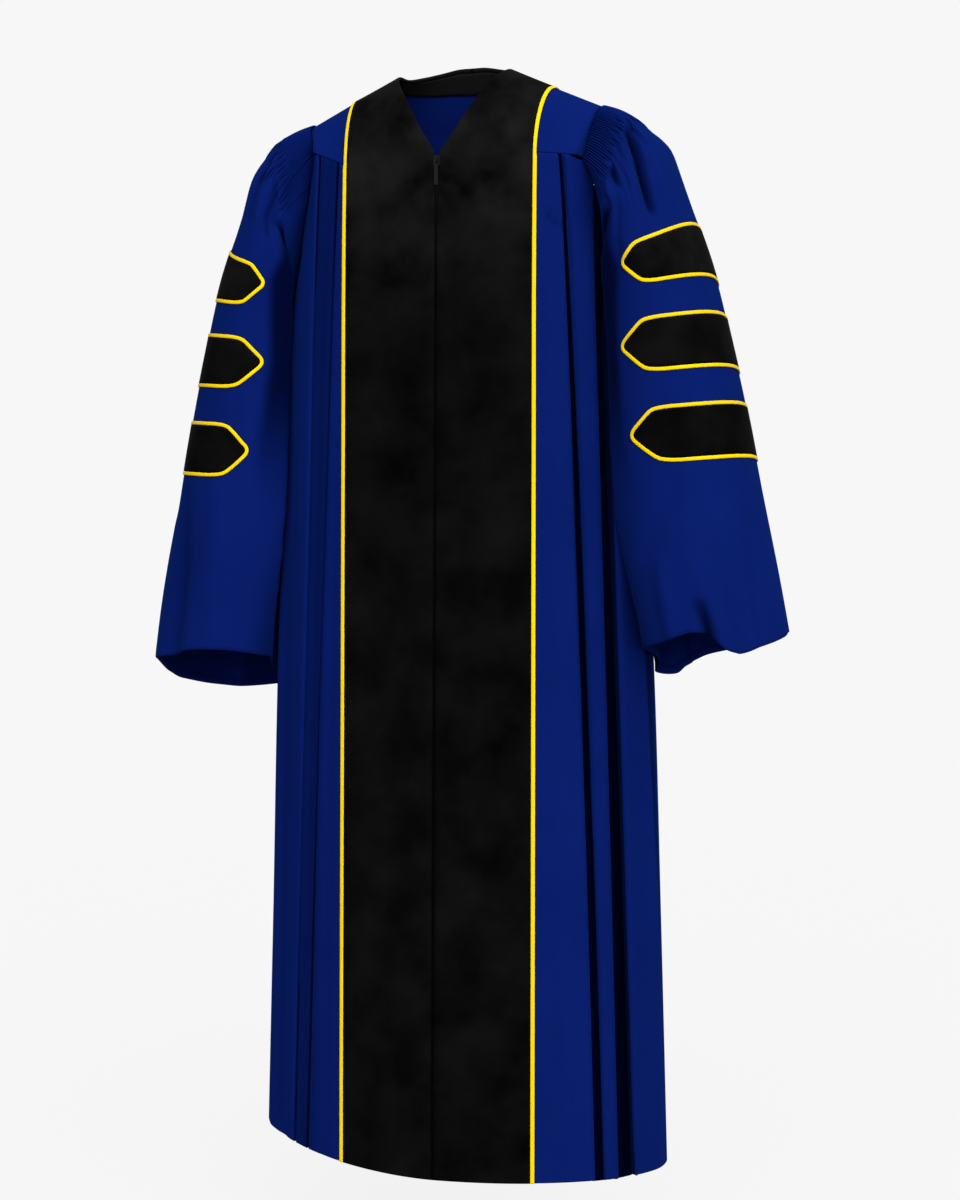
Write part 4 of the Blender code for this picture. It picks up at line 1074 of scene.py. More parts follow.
def back_point(place, z_row, below=None):
    """A point of the back, at a standard level or a given way below its top."""
    side = 1 if place >= 0.5 else -1
    part = 1 - abs(place - 0.5) * 2
    target = back_top(place)
    hem = HEM_Z + HEM_SIDE_RISE[side] * (1 - part) ** 3
    z = target[2] - below if below is not None else remap(z_row, target[2] - BACK_FLUTE_LONG, hem)
    here = ring(z)
    s = here.side + SEAM / 2 + (here.end - here.side - SEAM / 2) * part
    x, y = here.point(s)
    nx, ny = here.normal(min(s, here.end - 0.004))
    if part > 0.999:
        nx, ny = 0.0, 1.0
    top = ring(target[2])
    x0, y0 = top.point(top.side + SEAM / 2 + (top.end - top.side - SEAM / 2) * part)
    held = 1 - float(smooth_step(0, 0.20, target[2] - z))
    deep = sum(d * math.exp(-(((place - at) / w) ** 2)) for at, w, d in BACK_FOLDS)
    deep *= float(smooth_step(0.03, 0.45, target[2] - z))
    point = np.array(((x - nx * deep) * side, y - ny * deep, z))
    return stand_out(point + (target - np.array((x0 * side, y0, target[2]))) * held, side)


seam_long = 2 * float(np.linalg.norm(np.diff(BACK_SEAM, axis=0), axis=1).sum())
BACK_FLUTES = round(seam_long / FLUTE_PITCH)
low_place, high_place = CORNER_PART / 2 + 0.004, 1 - CORNER_PART / 2 - 0.004
fluted = np.linspace(low_place, high_place, PER_FLUTE * BACK_FLUTES + 1)
places = np.linspace(0, 1, 231)
fine = np.concatenate([places[places < low_place - 0.002], fluted, places[places > high_place + 0.002]])


def back_relief(place, below):
    """How far the gathered cloth stands out: pipes at the seam, then folds of a finger's width."""
    inside = smooth_step(low_place, low_place + 0.02, place) * smooth_step(high_place, high_place - 0.02, place)
    count = (place - low_place) / (high_place - low_place) * BACK_FLUTES
    pipes = FLUTE_HIGH * (0.5 - 0.5 * np.cos(math.tau * count)) ** 0.36
    pipes = pipes * (1 - smooth_step(0.6 * BACK_FLUTE_LONG, 1.15 * BACK_FLUTE_LONG, below))
    wander = 1.1 * np.sin(place * 37) + 0.8 * np.sin(place * 83 + 1)
    folds = 0.5 + 0.5 * np.cos(math.tau * count / 3.3 + wander)
    uneven = 0.6 + 0.4 * np.sin(place * 61 + 2.0)
    folds = 0.0022 * uneven * folds * smooth_step(0.028, 0.065, below) * (1 - smooth_step(0.10, 0.34, below))
    wide = 0.5 + 0.5 * np.cos(math.tau * count / 8.4 + 2.0 * np.sin(place * 19))
    wide = 0.0035 * wide * smooth_step(0.08, 0.20, below) * (1 - 0.6 * smooth_step(0.30, 1.0, below))
    return (pipes + folds + wide) * inside


def raised(grid, place):
    tops = grid[:1, :, 2]
    amount = back_relief(np.asarray(place)[None, :], tops - grid[:, :, 2])
    return grid + normals_of(grid) * amount[:, :, None]


depths = np.linspace(0, BACK_FLUTE_LONG, 12)
gathered = np.array([[back_point(p, None, d) for p in fine] for d in depths])
levels = [*np.arange(YOKE_Z - 0.008, HEM_Z + 0.003, -0.0082), HEM_Z + 0.002, HEM_Z]
hanging = np.array([[back_point(p, None, 0.0) for p in places]] + [[back_point(p, z) for p in places] for z in levels])
BACK_TOP = raised(gathered, fine)
BACK_LOW = raised(hanging, places)[1:]
rows = list(BACK_TOP) + list(BACK_LOW)
keys = [fine] * len(BACK_TOP) + [places] * len(BACK_LOW)
piece = cloth_piece("back_panel", rows, GOWN_CLOTH, keys=keys, spans=2 * (ring(-0.9).end - ring(-0.9).side))
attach(piece, "gown")
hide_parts("back")
print("back:", BACK_FLUTES, "pipes over", round(seam_long, 3), "m of seam")

# %% [markdown]
# ## Sleeves
# Each bell sleeve is gathered into the armhole in the same upright pipes, and falls straight from them.
# Turn 0 is the outside of the arm, 90 the front and 180 the side next to the body. The listed marks
# are the folds that the eye picks out: hollows under the pleated head, a fold across the crook of the
# arm, and the deep rolls of the wide cuff.

# %% Lines of the sleeve
ARM_TURNS = [0, 30, 50, 68, 84, 98]
HEAD_TURNS = [-156, -132, -114, -98, -60, -25, 0, 30, 50, 68, 84, 98, 114, 132, 156, 180]
FLUTE_TURN = 110.0


def on_loop(points, turn):
    keys = HEAD_TURNS[-3:] + HEAD_TURNS + HEAD_TURNS[:3]
    keys = [k - 360 if n < 3 else k + 360 if n > 18 else k for n, k in enumerate(keys)]
    return smooth_rows(keys, np.vstack([points[-3:], points, points[:3]]), turn)


def armhole_point(turn, side):
    if 0 <= turn <= 98:
        return top_lines(np.interp(turn, ARM_TURNS, [5, 4, 3, 2, 1, 0]), side)[2]
    if -98 <= turn < 0:
        return top_lines(np.interp(turn, [-98, -60, -25, 0], [BACK_CORNER, 7, 6, 5]), side)[2]
    keys = [98, 114, 132, 156, 180, 204, 228, 246, 262]
    line = LOWER_ARMHOLE[side]
    spot = np.interp(turn % 360, keys, np.arange(9) / 8 * (len(line) - 1))
    low = int(min(spot, len(line) - 2))
    return line[low] + (line[low + 1] - line[low]) * (spot - low)


def head_ends(turn, side):
    """The seam end and the released end of a line down the sleeve head, and the way up between them."""
    a = armhole_point(turn, side)
    b = on_loop(RELEASE[:, 1:], turn)
    run = unit(b - a)
    a = a + run * SLEEVE_SEAM
    if abs(turn) > 98:
        a = a + (0.0004, 0, 0)
    up = unit((a + b) / 2 - np.array((0.20, 0.01, -0.18)))
    return a, b, up - run * (up @ run)


def sleeve_point(turn, level, side):
    """A point of the hanging sleeve, at a level named by its outer side."""
    keys, tips = np.array(TIP_LEVELS[side]).T
    tip = np.interp(level, keys, tips)
    turn = float(np.interp(turn, (-180, -TIP_TURN, TIP_TURN, 180), (-180, -tip, tip, 180)))
    row = smooth_rows(SLEEVE[:, 0], SLEEVE[:, 1:], level)
    outer, inner, front, back, drop_front, drop_inner, drop_back = row
    a = math.radians(turn)
    power = 2 / SLEEVE_SQUARE
    c = math.copysign(abs(math.cos(a)) ** power, math.cos(a))
    s = math.copysign(abs(math.sin(a)) ** power, math.sin(a))
    size = np.array(((outer - inner) / 2, (-front if s > 0 else back)))
    grow = float(smooth_step(-0.56, -0.76, level))
    wave = 0.0
    for at, wide, deep in SLEEVE_FOLDS:
        gap = (turn - at + 180) % 360 - 180
        wave += deep * math.exp(-((gap / wide) ** 2))
    size = size * (1 - grow * wave)
    x = (outer + inner) / 2 + size[0] * c - SIDE_SHIFT[side] * float(smooth_step(-0.1, -0.2, level))
    y = -size[1] * s
    turned = abs(turn)
    reach = drop_front if turn >= 0 else drop_back
    if turned <= TIP_TURN:
        drop = reach * float(smooth_step(0, TIP_TURN, turned))
    else:
        drop = reach + (drop_inner - reach) * float(smooth_step(TIP_TURN, 180, turned))
    cuff = float(smooth_rows(CUFF_DROP[:, 0], CUFF_DROP[:, 1 if side == 1 else 2], turn))
    drop += (cuff - drop) * float(smooth_step(-0.50, -0.765, level))
    z = level + drop
    here = ring(z)
    wide, deep = here.wide + BODY_CLEAR, (here.front if y < 0 else here.back) + BODY_CLEAR
    if abs(y) < deep:
        x = max(x, wide * (1 - (abs(y) / deep) ** here.square) ** (1 / here.square))
    return np.array((x, y, z))


# %% Folds of the sleeves
DEGREE = 0.0021
ARM_MARKS = {
    # line of (turn, z) points, width, height
    1: (
        (((43, -0.082), (53, -0.118), (58, -0.160), (60, -0.205)), 0.0095, -0.0165),
        (((66, -0.105), (70, -0.135), (73, -0.175)), 0.008, 0.0050),
        (((80, -0.118), (88, -0.140), (91, -0.172)), 0.0065, -0.0130),
        (((100, -0.150), (104, -0.200), (108, -0.240)), 0.009, 0.0045),
        (((114, -0.160), (119, -0.190)), 0.007, -0.0050),
        (((101, -0.212), (108, -0.255), (117, -0.300)), 0.011, -0.0040),
        (((28, -0.100), (34, -0.150), (36, -0.190)), 0.012, 0.0030),
        (((80, -0.520), (92, -0.580), (112, -0.640)), 0.016, -0.0040),
        (((84, -0.712), (80, -0.745), (79, -0.790)), 0.010, -0.0130),
        (((56, -0.600), (58, -0.690), (62, -0.790)), 0.018, 0.0080),
        (((104, -0.660), (106, -0.760)), 0.012, 0.0050),
        (((30, -0.600), (36, -0.700), (38, -0.760)), 0.014, -0.0040),
        (((5, -0.620), (12, -0.760)), 0.018, 0.0030),
        (((-118, -0.680), (-120, -0.820)), 0.012, 0.0060),
        (((-30, -0.480), (-34, -0.620), (-36, -0.760)), 0.018, -0.0060),
        (((-75, -0.400), (-80, -0.600), (-84, -0.760)), 0.020, 0.0060),
    ),
    -1: (
        (((20, -0.090), (30, -0.130), (34, -0.180)), 0.010, -0.0045),
        (((52, -0.100), (60, -0.140), (64, -0.190)), 0.009, -0.0055),
        (((66, -0.112), (74, -0.150), (80, -0.190)), 0.008, 0.0040),
        (((84, -0.130), (92, -0.165), (96, -0.215)), 0.008, -0.0055),
        (((106, -0.160), (112, -0.215), (118, -0.260)), 0.009, 0.0040),
        (((96, -0.230), (110, -0.290)), 0.012, -0.0030),
        (((50, -0.560), (62, -0.660), (66, -0.765)), 0.018, -0.0050),
        (((84, -0.560), (92, -0.680), (100, -0.770)), 0.018, 0.0050),
        (((20, -0.600), (24, -0.765)), 0.018, 0.0045),
        (((-10, -0.640), (-14, -0.790)), 0.014, -0.0050),
        (((-46, -0.500), (-50, -0.800)), 0.020, 0.0050),
        (((-80, -0.420), (-88, -0.800)), 0.022, -0.0060),
    ),
}


def head_arc(side):
    """Distances along the middle of the pleated head, for turning turns into a count of pipes."""
    dense = np.linspace(-FLUTE_TURN, FLUTE_TURN, 300)
    line = []
    for t in dense:
        a, b, up = head_ends(t, side)
        line.append((a + b) / 2 + up * HEAD_BULGE)
    steps = np.linalg.norm(np.diff(line, axis=0), axis=1)
    return dense, np.append(0, np.cumsum(steps))


def gather_relief(turns, part, side, dense, arc):
    """Relief of the gathered head, and the painted shade of each point in the hollows between the pipes.

    part is 0 at the seam, 1 where the pipes end, and 2 below the folds.
    """
    total = arc[-1]
    pipes_in_all = round(total / FLUTE_PITCH)
    at = np.interp(turns, dense, arc)
    count = at / total * pipes_in_all
    ends = smooth_step(-FLUTE_TURN - 4, -FLUTE_TURN + 10, turns)
    ends = ends * smooth_step(FLUTE_TURN + 4, FLUTE_TURN - 10, turns)
    ragged = 0.16 * np.sin(np.floor(count) * 2.4 + side) + 0.10 * np.sin(np.floor(count) * 5.1)
    round_top = (0.5 - 0.5 * np.cos(math.tau * count)) ** 0.36
    pipes = FLUTE_HIGH * round_top * (1 - smooth_step(0.82, 0.97, part + ragged))
    # Painted shade in the hollows between the pipes, strongest where the pipes are let go.
    fold_and_painted_shade = (1 - round_top) * (1 - smooth_step(0.82, 0.97, part + ragged))
    fold_and_painted_shade = fold_and_painted_shade + (1 - round_top) * np.exp(-(((part + ragged - 0.96) / 0.09) ** 2))
    wander = 1.2 * np.sin(at * 31 + side) + 0.9 * np.sin(at * 67 + 2 * side)
    folds = 0.5 + 0.5 * np.cos(math.tau * count / 3.1 + wander)
    uneven = 0.6 + 0.4 * np.sin(at * 53 + 1.3 * side)
    folds = 0.0024 * folds * uneven * smooth_step(0.55, 1.0, part) * (1 - smooth_step(1.15, 1.9, part))
    return (pipes + folds) * ends, fold_and_painted_shade * ends


# %% Sleeve sheets
BODY_TURNS = np.concatenate([np.arange(-177.5, 29, 2.5), np.arange(30, 126, 1.25), np.arange(127.5, 181, 2.5)])
SLEEVE_GRID = {}
for side, word in ((1, "left"), (-1, "right")):
    dense, arc = head_arc(side)
    pipes_in_all = round(arc[-1] / FLUTE_PITCH)
    even = np.linspace(0, arc[-1], PER_FLUTE * pipes_in_all + 1)
    turns = np.concatenate([BODY_TURNS[BODY_TURNS < -111], np.interp(even, arc, dense), BODY_TURNS[BODY_TURNS > 111]])
    parts = np.linspace(0, 1, 15)
    ends = [head_ends(t, side) for t in turns]
    head = np.array([[a + (b - a) * p + up * HEAD_BULGE * math.sin(math.pi * p) for a, b, up in ends] for p in parts])
    relief, head_painted_shade = gather_relief(turns[None, :], parts[:, None], side, dense, arc)
    head = head + normals_of(head, True, (0.2, 0.01, -0.18)) * relief[:, :, None]

    # From the released pleats to the first full section, on a curve through its neighbours.
    levels = np.arange(-0.118, -0.7651, -0.0052)
    low = np.array([[sleeve_point(t, z, side) for t in BODY_TURNS] for z in levels])
    ends = [head_ends(t, side) for t in BODY_TURNS]
    start = np.array([b for _, b, _ in ends])
    before = np.array([a + (b - a) * 0.6 + up * HEAD_BULGE * math.sin(math.pi * 0.6) for a, b, up in ends])
    bridge = []
    for t in np.linspace(0, 1, 9)[1:-1]:
        far = np.linalg.norm(low[0] - start, axis=1, keepdims=True)
        slope_a, slope_b = unit(start - before + 0.6 * (low[0] - start)) * far, unit(low[3] - low[0]) * far
        bridge.append(
            start * (1 + 2 * t) * (1 - t) ** 2
            + slope_a * t * (1 - t) ** 2
            + low[0] * t * t * (3 - 2 * t)
            + slope_b * t * t * (t - 1)
        )
    body = np.concatenate([np.array(bridge), low])
    share = smooth_step(-0.50, -0.78, body[:, :, 2])
    body[:, :, 2] += SIDE_RISE[side] * share
    part = 1 + np.append(np.linspace(0, 1, 9)[1:-1] * 0.5, 0.5 + (levels[0] - levels) / 0.16)
    relief, fold_and_painted_shade = gather_relief(BODY_TURNS[None, :], part[:, None], side, dense, arc)
    across = BODY_TURNS[None, :] * DEGREE
    table = [([(t * DEGREE, z) for t, z in line], w, h) for line, w, h in ARM_MARKS[side]]
    relief = relief + marks(across, body[:, :, 2], table)
    # Painted shade in the deepest creases, and on the side of the sleeve next to the body, where the arm is shaded.
    troughs = marks(across, body[:, :, 2], [row for row in table if row[2] < -0.0045])
    fold_and_painted_shade = fold_and_painted_shade + np.clip(-troughs / 0.014, 0, 0.9)
    shade_beside_body = smooth_step(109, 121, BODY_TURNS) * smooth_step(180, 158, BODY_TURNS)
    level = body[:, :, 2]
    fold_and_painted_shade = np.maximum(fold_and_painted_shade, 0.9 * shade_beside_body[None, :] * smooth_step(-0.13, -0.19, level) * smooth_step(-0.60, -0.40, level))
    out = normals_of(body, True, (0.29, 0.01, None))
    clear = smooth_step(0.003, 0.010, body[:, :, 0] - 0.236) * 0.85 + 0.15
    body = body + out * (np.where(np.abs(BODY_TURNS)[None, :] > 120, relief * clear, relief))[:, :, None]
    flip = np.array((side, 1, 1))
    head, body = head * flip, body * flip
    out = normals_of(body, True, (0.29 * side, 0.01, None))[-1]
    turned = [body[-1] - out * 0.0010 - (0, 0, 0.0005), body[-1] - out * 0.0020, body[-3] - out * 0.0022]
    rows = list(head) + list(body) + turned
    keys = [turns] * len(head) + [BODY_TURNS] * (len(body) + len(turned))
    fold_and_painted_shade = list(head_painted_shade) + list(fold_and_painted_shade) + [fold_and_painted_shade[-1]] * len(turned)
    middle = (0.29 * side, 0.01, -0.3)
    piece = cloth_piece(
        "sleeve_cloth_" + word, rows, GOWN_CLOTH, keys=keys, spans=0.75, closed=True, inside=middle, fold_and_painted_shade=fold_and_painted_shade
    )
    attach(piece, "gown")
    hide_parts("sleeve_" + word)
    SLEEVE_GRID[side] = body[len(bridge) :], levels
    print(piece.name, pipes_in_all, "pipes, rows", len(rows))

# %% [markdown]
# ## Velvet panels
# The panels are stitched on top of the fronts, so they take their form from the cloth below, moved out
# by a hair. The pile makes them a millimetre thick. They carry on over the shoulders without a seam and
# meet a band round the back of the neck.

# %% Velvet on the fronts and the neck
VELVET_TOP = LIFT + VELVET_THICK
ROLL = VELVET_TOP + CLOTH / 2


def turned_over(base, out, face):
    """The velvet's face with its free edge rolled over the edge of the cloth, as far as there is room."""
    middle = base[:, 0] - out[:, 0] * CLOTH / 2
    ahead = unit(base[:, 0] - base[:, 1])
    room = np.where(base[:, 0, 2] < -0.13, np.abs(base[:, 0, 0]) - 0.0002, ROLL)
    reach = np.clip(room, 0.00005, ROLL)[:, None]
    tuck_and_painted_shade = np.where(base[:, 0, 2] < -0.13, 0.0002, 0.004)[:, None]
    bent = [middle - out[:, 0] * ROLL - ahead * tuck_and_painted_shade]
    for angle in np.radians((180, 150, 120, 90, 60, 30)):
        bent.append(middle + out[:, 0] * ROLL * math.cos(angle) + ahead * reach * math.sin(angle))
    return np.concatenate([np.array(bent).transpose(1, 0, 2), face], axis=1)


for side, word in ((1, "left"), (-1, "right")):
    panel = np.concatenate([FRONT[side][:-1, : EDGE + 1], YOKE[side][:, : EDGE + 1]])
    out = normals_of(panel, inside=(0.1 * side, 0.02, None))
    cut = panel[:, :EDGE].copy()
    cut[:, -1] += unit(cut[:, -2] - cut[:, -1]) * SEAM / 2
    face = cut + out[:, :EDGE] * VELVET_TOP
    face = turned_over(cut, out, face)
    piece = cloth_piece("velvet_panel_" + word, face, VELVET, thick=0.0011)
    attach(piece, "gown")
    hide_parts("velvet_" + word)
    FRONT[side, "edge"] = panel[:, EDGE - 1 : EDGE + 1], out[:, EDGE - 1 : EDGE + 1]

back_out = normals_of(YOKE_BACK, inside=(0, 0, -0.2))
cut = YOKE_BACK[:, :EDGE].copy()
cut[:, -1] += unit(cut[:, -2] - cut[:, -1]) * SEAM / 2
face = turned_over(cut, back_out, cut + back_out[:, :EDGE] * VELVET_TOP)
piece = cloth_piece("velvet_band", face, VELVET, thick=0.0011, inside=(0, 0, -0.2))
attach(piece, "gown")
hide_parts("velvet_back")
FRONT[0, "edge"] = YOKE_BACK[:, EDGE - 1 : EDGE + 1], back_out[:, EDGE - 1 : EDGE + 1]

# %% [markdown]
# ## Piping
# Piping is a folded strip of satin, caught in the seam so that five millimetres of it show. It lies flat
# with soft rounded edges. Its section is swept between two lines, the velvet's edge and a line outside.

# %% Flat piping
PIPING_SECTION = (
    # place across the width, height
    (0.02, 0.0),
    (0.98, 0.0),
    (1.0, 0.5),
    (0.93, 0.86),
    (0.76, 1.02),
    (0.5, 1.06),
    (0.24, 1.02),
    (0.07, 0.86),
    (0.0, 0.5),
)


def piping(name, near, far, lift_near, lift_far, closed=False):
    """Piping between two lines of points. The lifts are unit vectors out of the cloth."""
    inner = near + unit(far - near) * SEAM / 2
    outer = far - (0 if closed else 1) * unit(far - near) * SEAM / 2
    rings = []
    for part, tall in PIPING_SECTION:
        lift = lift_near + (lift_far - lift_near) * part
        rings.append(inner + (outer - inner) * part + lift * (LIFT + tall * PIPING_HIGH))
    sections = np.array(rings).transpose(1, 0, 2)
    count, wide = sections.shape[:2]
    points = [tuple(map(float, p)) for p in sections.reshape(-1, 3)]
    faces = []
    for k in range(count if closed else count - 1):
        n = (k + 1) % count
        for j in range(wide):
            m = (j + 1) % wide
            faces.append((k * wide + j, n * wide + j, n * wide + m, k * wide + m))
    if not closed:
        faces.append(tuple(range(wide)))
        faces.append(tuple(reversed(range((count - 1) * wide, count * wide))))
    mesh = bpy.data.meshes.new(name)
    mesh.from_pydata(points, [], faces)
    layer = mesh.uv_layers.new(name="cloth")
    run = np.append(0, np.cumsum(np.linalg.norm(np.diff(near, axis=0), axis=1)))
    girth = np.linspace(0, 2.2 * PIPING_WIDE, wide + 1)
    flat = []
    for f in faces[: (count if closed else count - 1) * wide]:
        k, j = f[0] // wide, f[0] % wide
        far_run = run[k + 1] if k + 1 < count else run[k] + 0.004
        flat += [girth[j], run[k], girth[j], far_run, girth[j + 1], far_run, girth[j + 1], run[k]]
    flat += [0.0] * (2 * len(mesh.loops) - len(flat))
    layer.data.foreach_set("uv", flat)
    mesh.shade_smooth()
    mesh.materials.append(PIPING)
    piece = bpy.data.objects.new(name, mesh)
    bpy.context.scene.collection.objects.link(piece)
    turn_out(mesh)
    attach(piece, "gown")
    return piece


def turn_out(mesh):
    """Makes a closed mesh's faces point outwards, by the sign of its volume."""
    mesh.calc_loop_triangles()
    points = np.array([v.co for v in mesh.vertices])
    tris = np.array([t.vertices for t in mesh.loop_triangles])
    a, b, c = (points[tris[:, k]] for k in range(3))
    if (a * np.cross(b, c)).sum() < 0:
        mesh.flip_normals()


for side, name, node in ((1, "front_piping_left", "piping_left"), (-1, "front_piping_right", "piping_right"),
                         (0, "neck_piping", "piping_back")):
    lines, lifts = FRONT[side, "edge"]
    piece = piping(name, lines[:, 0], lines[:, 1], lifts[:, 0], lifts[:, 1])
    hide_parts(node)
print("piping pieces:", 3)

# %% [markdown]
# ## Sleeve bars
# Each sleeve has three velvet bars, pointed at both ends with softly rounded corners. They are drawn on
# the sleeve's own surface: a bar is a range of turns, and its height at each turn comes from the outline.
# The piping follows the same outline, moved out along the cloth, so that both bend with the sleeve.

# %% Bars and their piping


def on_sleeve(side, turns, levels):
    """Points of the sleeve cloth and its outward vectors at given turns and levels."""
    grid, rows = SLEEVE_GRID[side]
    out = normals_of(grid, True, (0.29 * side, 0.01, None))
    i = np.interp(levels, rows[::-1], np.arange(len(rows))[::-1])
    j = np.interp(turns, BODY_TURNS, np.arange(len(BODY_TURNS)))
    i0 = np.clip(i.astype(int), 0, len(rows) - 2)
    j0 = np.clip(j.astype(int), 0, len(BODY_TURNS) - 2)
    fi, fj = (i - i0)[..., None], (j - j0)[..., None]
    result = []
    for field in (grid, out):
        top = field[i0, j0] * (1 - fj) + field[i0, j0 + 1] * fj
        low = field[i0 + 1, j0] * (1 - fj) + field[i0 + 1, j0 + 1] * fj
        result.append(top * (1 - fi) + low * fi)
    return result[0], unit(result[1])


def bar_outline(half):
    """The bar's upper outline from tip to tip: turns and heights, with rounded corners."""
    corner = np.array(
        (
            # degrees in from the tip, height
            (0.0, 0.03),
            (0.35, 0.09),
            (1.2, 0.155),
            (3.0, 0.25),
            (13.0, 0.77),
            (15.0, 0.865),
            (16.5, 0.915),
            (19.0, 0.955),
            (23.0, 0.985),
            (28.0, 1.0),
        )
    )
    from_tip = np.concatenate([np.linspace(0, 5, 9)[:-1], np.linspace(5, 28, 16)])
    high = np.interp(from_tip, corner[:, 0], corner[:, 1]) * half
    middle = np.linspace(28, 2 * TIP_TURN - 28, 61)[1:-1]
    turns = np.concatenate([from_tip, middle, 2 * TIP_TURN - from_tip[::-1]]) - TIP_TURN
    return turns, np.concatenate([high, np.full(len(middle), half), high[::-1]])


for side, word in ((1, "left"), (-1, "right")):
    for number, (left_level, right_level, half) in enumerate(BARS, 1):
        level = left_level if side == 1 else right_level
        turns, high = bar_outline(half)
        across = np.linspace(-1, 1, 15)[:, None]
        points, out = on_sleeve(side, turns[None, :] + 0 * across, level + across * high[None, :])
        piece = cloth_piece(
            f"velvet_bar_{word}_{number}", points + out * VELVET_TOP, VELVET, thick=0.0011, inside=(0.29 * side, 0.01, None)
        )
        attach(piece, "gown")
        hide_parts(f"bar_{word}_{number}")
        loop_turns = np.concatenate([turns, turns[::-1]])
        loop_levels = level + np.concatenate([high, -high[::-1]])
        near, lift = on_sleeve(side, loop_turns, loop_levels)
        ahead = unit(np.roll(near, -2, axis=0) - np.roll(near, 2, axis=0))
        sideways = unit(np.cross(ahead, lift))
        centre = near.mean(axis=0)
        if (sideways * (near - centre)).sum() < 0:
            sideways = -sideways
        for _ in range(3):
            sideways = unit(np.roll(sideways, 1, axis=0) + sideways * 2 + np.roll(sideways, -1, axis=0))
        far = near + sideways * PIPING_WIDE
        piece = piping(f"bar_edge_{word}_{number}", near, far, lift, lift, closed=True)
        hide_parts(f"bar_piping_{word}_{number}")
print("bars:", 6)

# %% [markdown]
# ## Neck facing
# The inside of the back neck is faced with black cloth, deepest at the centre back. It follows the yoke's
# inner face, so it is the same grid moved in by the cloth's thickness.

# %% Facing inside the neck
inside_yoke = YOKE_BACK - back_out * (WALL + LIFT)
deep_columns = np.linspace(0, 0.42, 9)
rows = []
for k in range(1, len(inside_yoke) - 1):
    line = inside_yoke[k]
    steps = np.append(0, np.cumsum(np.linalg.norm(np.diff(line, axis=0), axis=1)))
    long = 0.0215 + 0.0125 * math.sin(math.pi * k / (len(inside_yoke) - 1))
    at = np.linspace(0.0046, long, 9)
    rows.append(np.array([[np.interp(s, steps, line[:, c]) for c in range(3)] for s in at]))
piece = cloth_piece("neck_facing_cloth", np.array(rows), FACING, thick=0.0008, inside=(0, 0, -0.2))
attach(piece, "gown")
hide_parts("neck_facing")

# %% [markdown]
# ## Zip
# A closed end zip runs behind the fronts. Its slider sits at the foot of the neck opening with the pull
# hanging from it. The teeth are moulded pairs, so one small block is repeated by arrays of numbers and
# joined into one mesh.

# %% Zip
ZIP_BOTTOM_Z = -0.800
for node, material in (("zip_tape", ZIP_TAPE), ("zip_slider", ZIP_METAL), ("zip_pull", ZIP_METAL)):
    shape = frame["nodes"][node]
    for slot in shape.material_slots:
        slot.material = material

TOOTH_PITCH = 0.0025
tooth = np.array([(x, y, z) for x in (-1, 1) for y in (-1, 1) for z in (-1, 1)]) * (0.0013, 0.0007, 0.00085)
tooth_faces = ((0, 1, 3, 2), (4, 6, 7, 5), (0, 4, 5, 1), (2, 3, 7, 6), (0, 2, 6, 4), (1, 5, 7, 3))
points, faces = [], []
for number, z in enumerate(np.arange(-0.146, ZIP_BOTTOM_Z + 0.01, -TOOTH_PITCH / 2)):
    start = len(points)
    shift = (0.0006 if number % 2 else -0.0006, -ring(z).front + WALL + LIFT - 0.0009, z)
    points += [tuple(map(float, p + np.array(shift))) for p in tooth]
    faces += [tuple(start + k for k in f) for f in tooth_faces]
mesh = bpy.data.meshes.new("zip_teeth")
mesh.from_pydata(points, [], faces)
mesh.materials.append(ZIP_METAL)
teeth = bpy.data.objects.new("zip_teeth", mesh)
bpy.context.scene.collection.objects.link(teeth)
rounded = teeth.modifiers.new("rounded", "BEVEL")
rounded.width = 0.0003
rounded.segments = 1
turn_out(mesh)
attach(teeth, "gown")
print("teeth:", len(points) // 8)

# %% [markdown]
# ## Studio
# The gown stands on a plain pale floor in pale air. The air is brighter in one broad patch behind and
# above the camera, as a large soft lamp would make it, so folds that turn away from it go darker. The
# floor gives a little light of its own, like a lit studio sweep, which keeps the ground as pale as the air.
# Air and floor look paler than the light they give, as they do with flags around a studio lamp: without
# that, light from all sides would fill the pleats and the cuffs.

# %% Floor and air
PALE = 0.93
LAMP_WAY = unit(np.array((0.42, -0.80, 0.42)))
LAMP_BRIGHT = 5.4
AIR_LIGHT = 0.46
FLOOR_LIGHT = 0.30
FLOOR_Z = -1.56
size = 14.0
mesh = bpy.data.meshes.new("floor")
corners = [(-size, -size, FLOOR_Z), (size, -size, FLOOR_Z), (size, size, FLOOR_Z), (-size, size, FLOOR_Z)]
mesh.from_pydata(corners, [], [(0, 1, 2, 3)])
floor = bpy.data.objects.new("floor", mesh)
bpy.context.scene.collection.objects.link(floor)
paint = bpy.data.materials.new("pale floor")
paint.use_nodes = True
shader = paint.node_tree.nodes["Principled BSDF"]
shader.inputs["Base Color"].default_value = (0.05, 0.05, 0.05, 1)
shader.inputs["Roughness"].default_value = 1.0
shader.inputs["Specular IOR Level"].default_value = 0.0
shader.inputs["Emission Color"].default_value = (PALE, PALE, PALE, 1)
seen = paint.node_tree.nodes.new("ShaderNodeLightPath").outputs["Is Camera Ray"]
glow = math_node(paint.node_tree, "MULTIPLY", seen, 0.92 - FLOOR_LIGHT)
paint.node_tree.links.new(math_node(paint.node_tree, "ADD", glow, FLOOR_LIGHT), shader.inputs["Emission Strength"])
mesh.materials.append(paint)

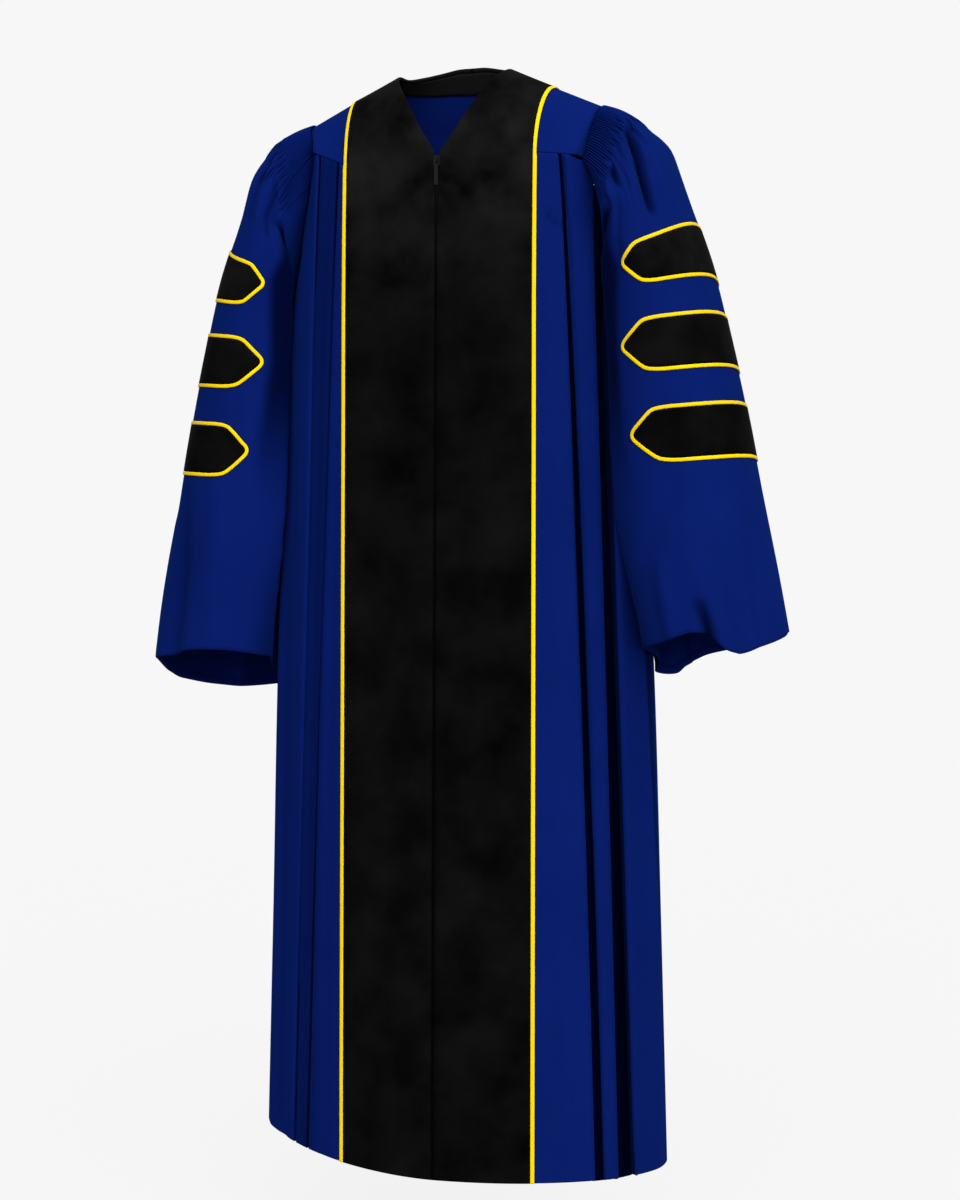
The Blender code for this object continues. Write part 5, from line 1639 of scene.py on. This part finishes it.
world = bpy.context.scene.world or bpy.data.worlds.new("air")
bpy.context.scene.world = world
world.use_nodes = True
tree = world.node_tree
air = tree.nodes["Background"]
way = tree.nodes.new("ShaderNodeTexCoord").outputs["Generated"]
facing = tree.nodes.new("ShaderNodeVectorMath")
facing.operation = "DOT_PRODUCT"
tree.links.new(way, facing.inputs[0])
facing.inputs[1].default_value = tuple(map(float, LAMP_WAY))
patch = math_node(tree, "MULTIPLY", math_node(tree, "SUBTRACT", facing.outputs["Value"], 0.30), 1 / 0.70, True)
patch = math_node(tree, "MULTIPLY", math_node(tree, "MULTIPLY", patch, patch), LAMP_BRIGHT)
patch = math_node(tree, "ADD", patch, AIR_LIGHT)
seen = tree.nodes.new("ShaderNodeLightPath").outputs["Is Camera Ray"]
lit = math_node(tree, "MULTIPLY", patch, math_node(tree, "SUBTRACT", 1.0, seen))
tree.links.new(math_node(tree, "ADD", lit, math_node(tree, "MULTIPLY", seen, PALE)), air.inputs["Strength"])
air.inputs["Color"].default_value = (1, 1, 1, 1)
bpy.context.scene.view_settings.view_transform = "Standard"

# %% [markdown]
# ## The cloth's cut sizes
# Each sheet is listed with the size that it was cut to before it was pleated and sewn, and the area of
# the sheet as made is printed beside the area of the cut.

# %% Sheets
SHEETS = (
    # piece, width, length, area, how it is held
    ("front_panel_left", 0.44, 1.33, 0.54, "hung"),
    ("front_panel_right", 0.42, 1.33, 0.51, "hung"),
    ("back_panel", 0.78, 1.33, None, "gathered"),
    ("shoulder_piece_left", 0.20, 0.24, 0.026, "stretched"),
    ("shoulder_piece_right", 0.20, 0.24, 0.025, "stretched"),
    ("back_yoke", 0.44, 0.24, 0.072, "stretched"),
    ("sleeve_cloth_left", 0.78, 0.76, None, "gathered"),
    ("sleeve_cloth_right", 0.78, 0.76, None, "gathered"),
    ("velvet_panel_left", 0.125, 1.50, 0.172, "stretched"),
    ("velvet_panel_right", 0.125, 1.50, 0.172, "stretched"),
    ("velvet_band", 0.28, 0.13, 0.026, "stretched"),
    ("neck_facing_cloth", 0.24, 0.05, 0.009, "stretched"),
)
for name, wide, long, area, held in SHEETS:
    piece = bpy.data.objects[name]
    made = sum(face.area for face in piece.data.polygons)
    print(name, "made", round(made, 3), "cut", round(area or wide * long, 3))
for word in ("left", "right"):
    for number in (1, 2, 3):
        bar = bpy.data.objects[f"velvet_bar_{word}_{number}"]
        made = sum(face.area for face in bar.data.polygons)
        print(bar.name, "made", round(made, 4))
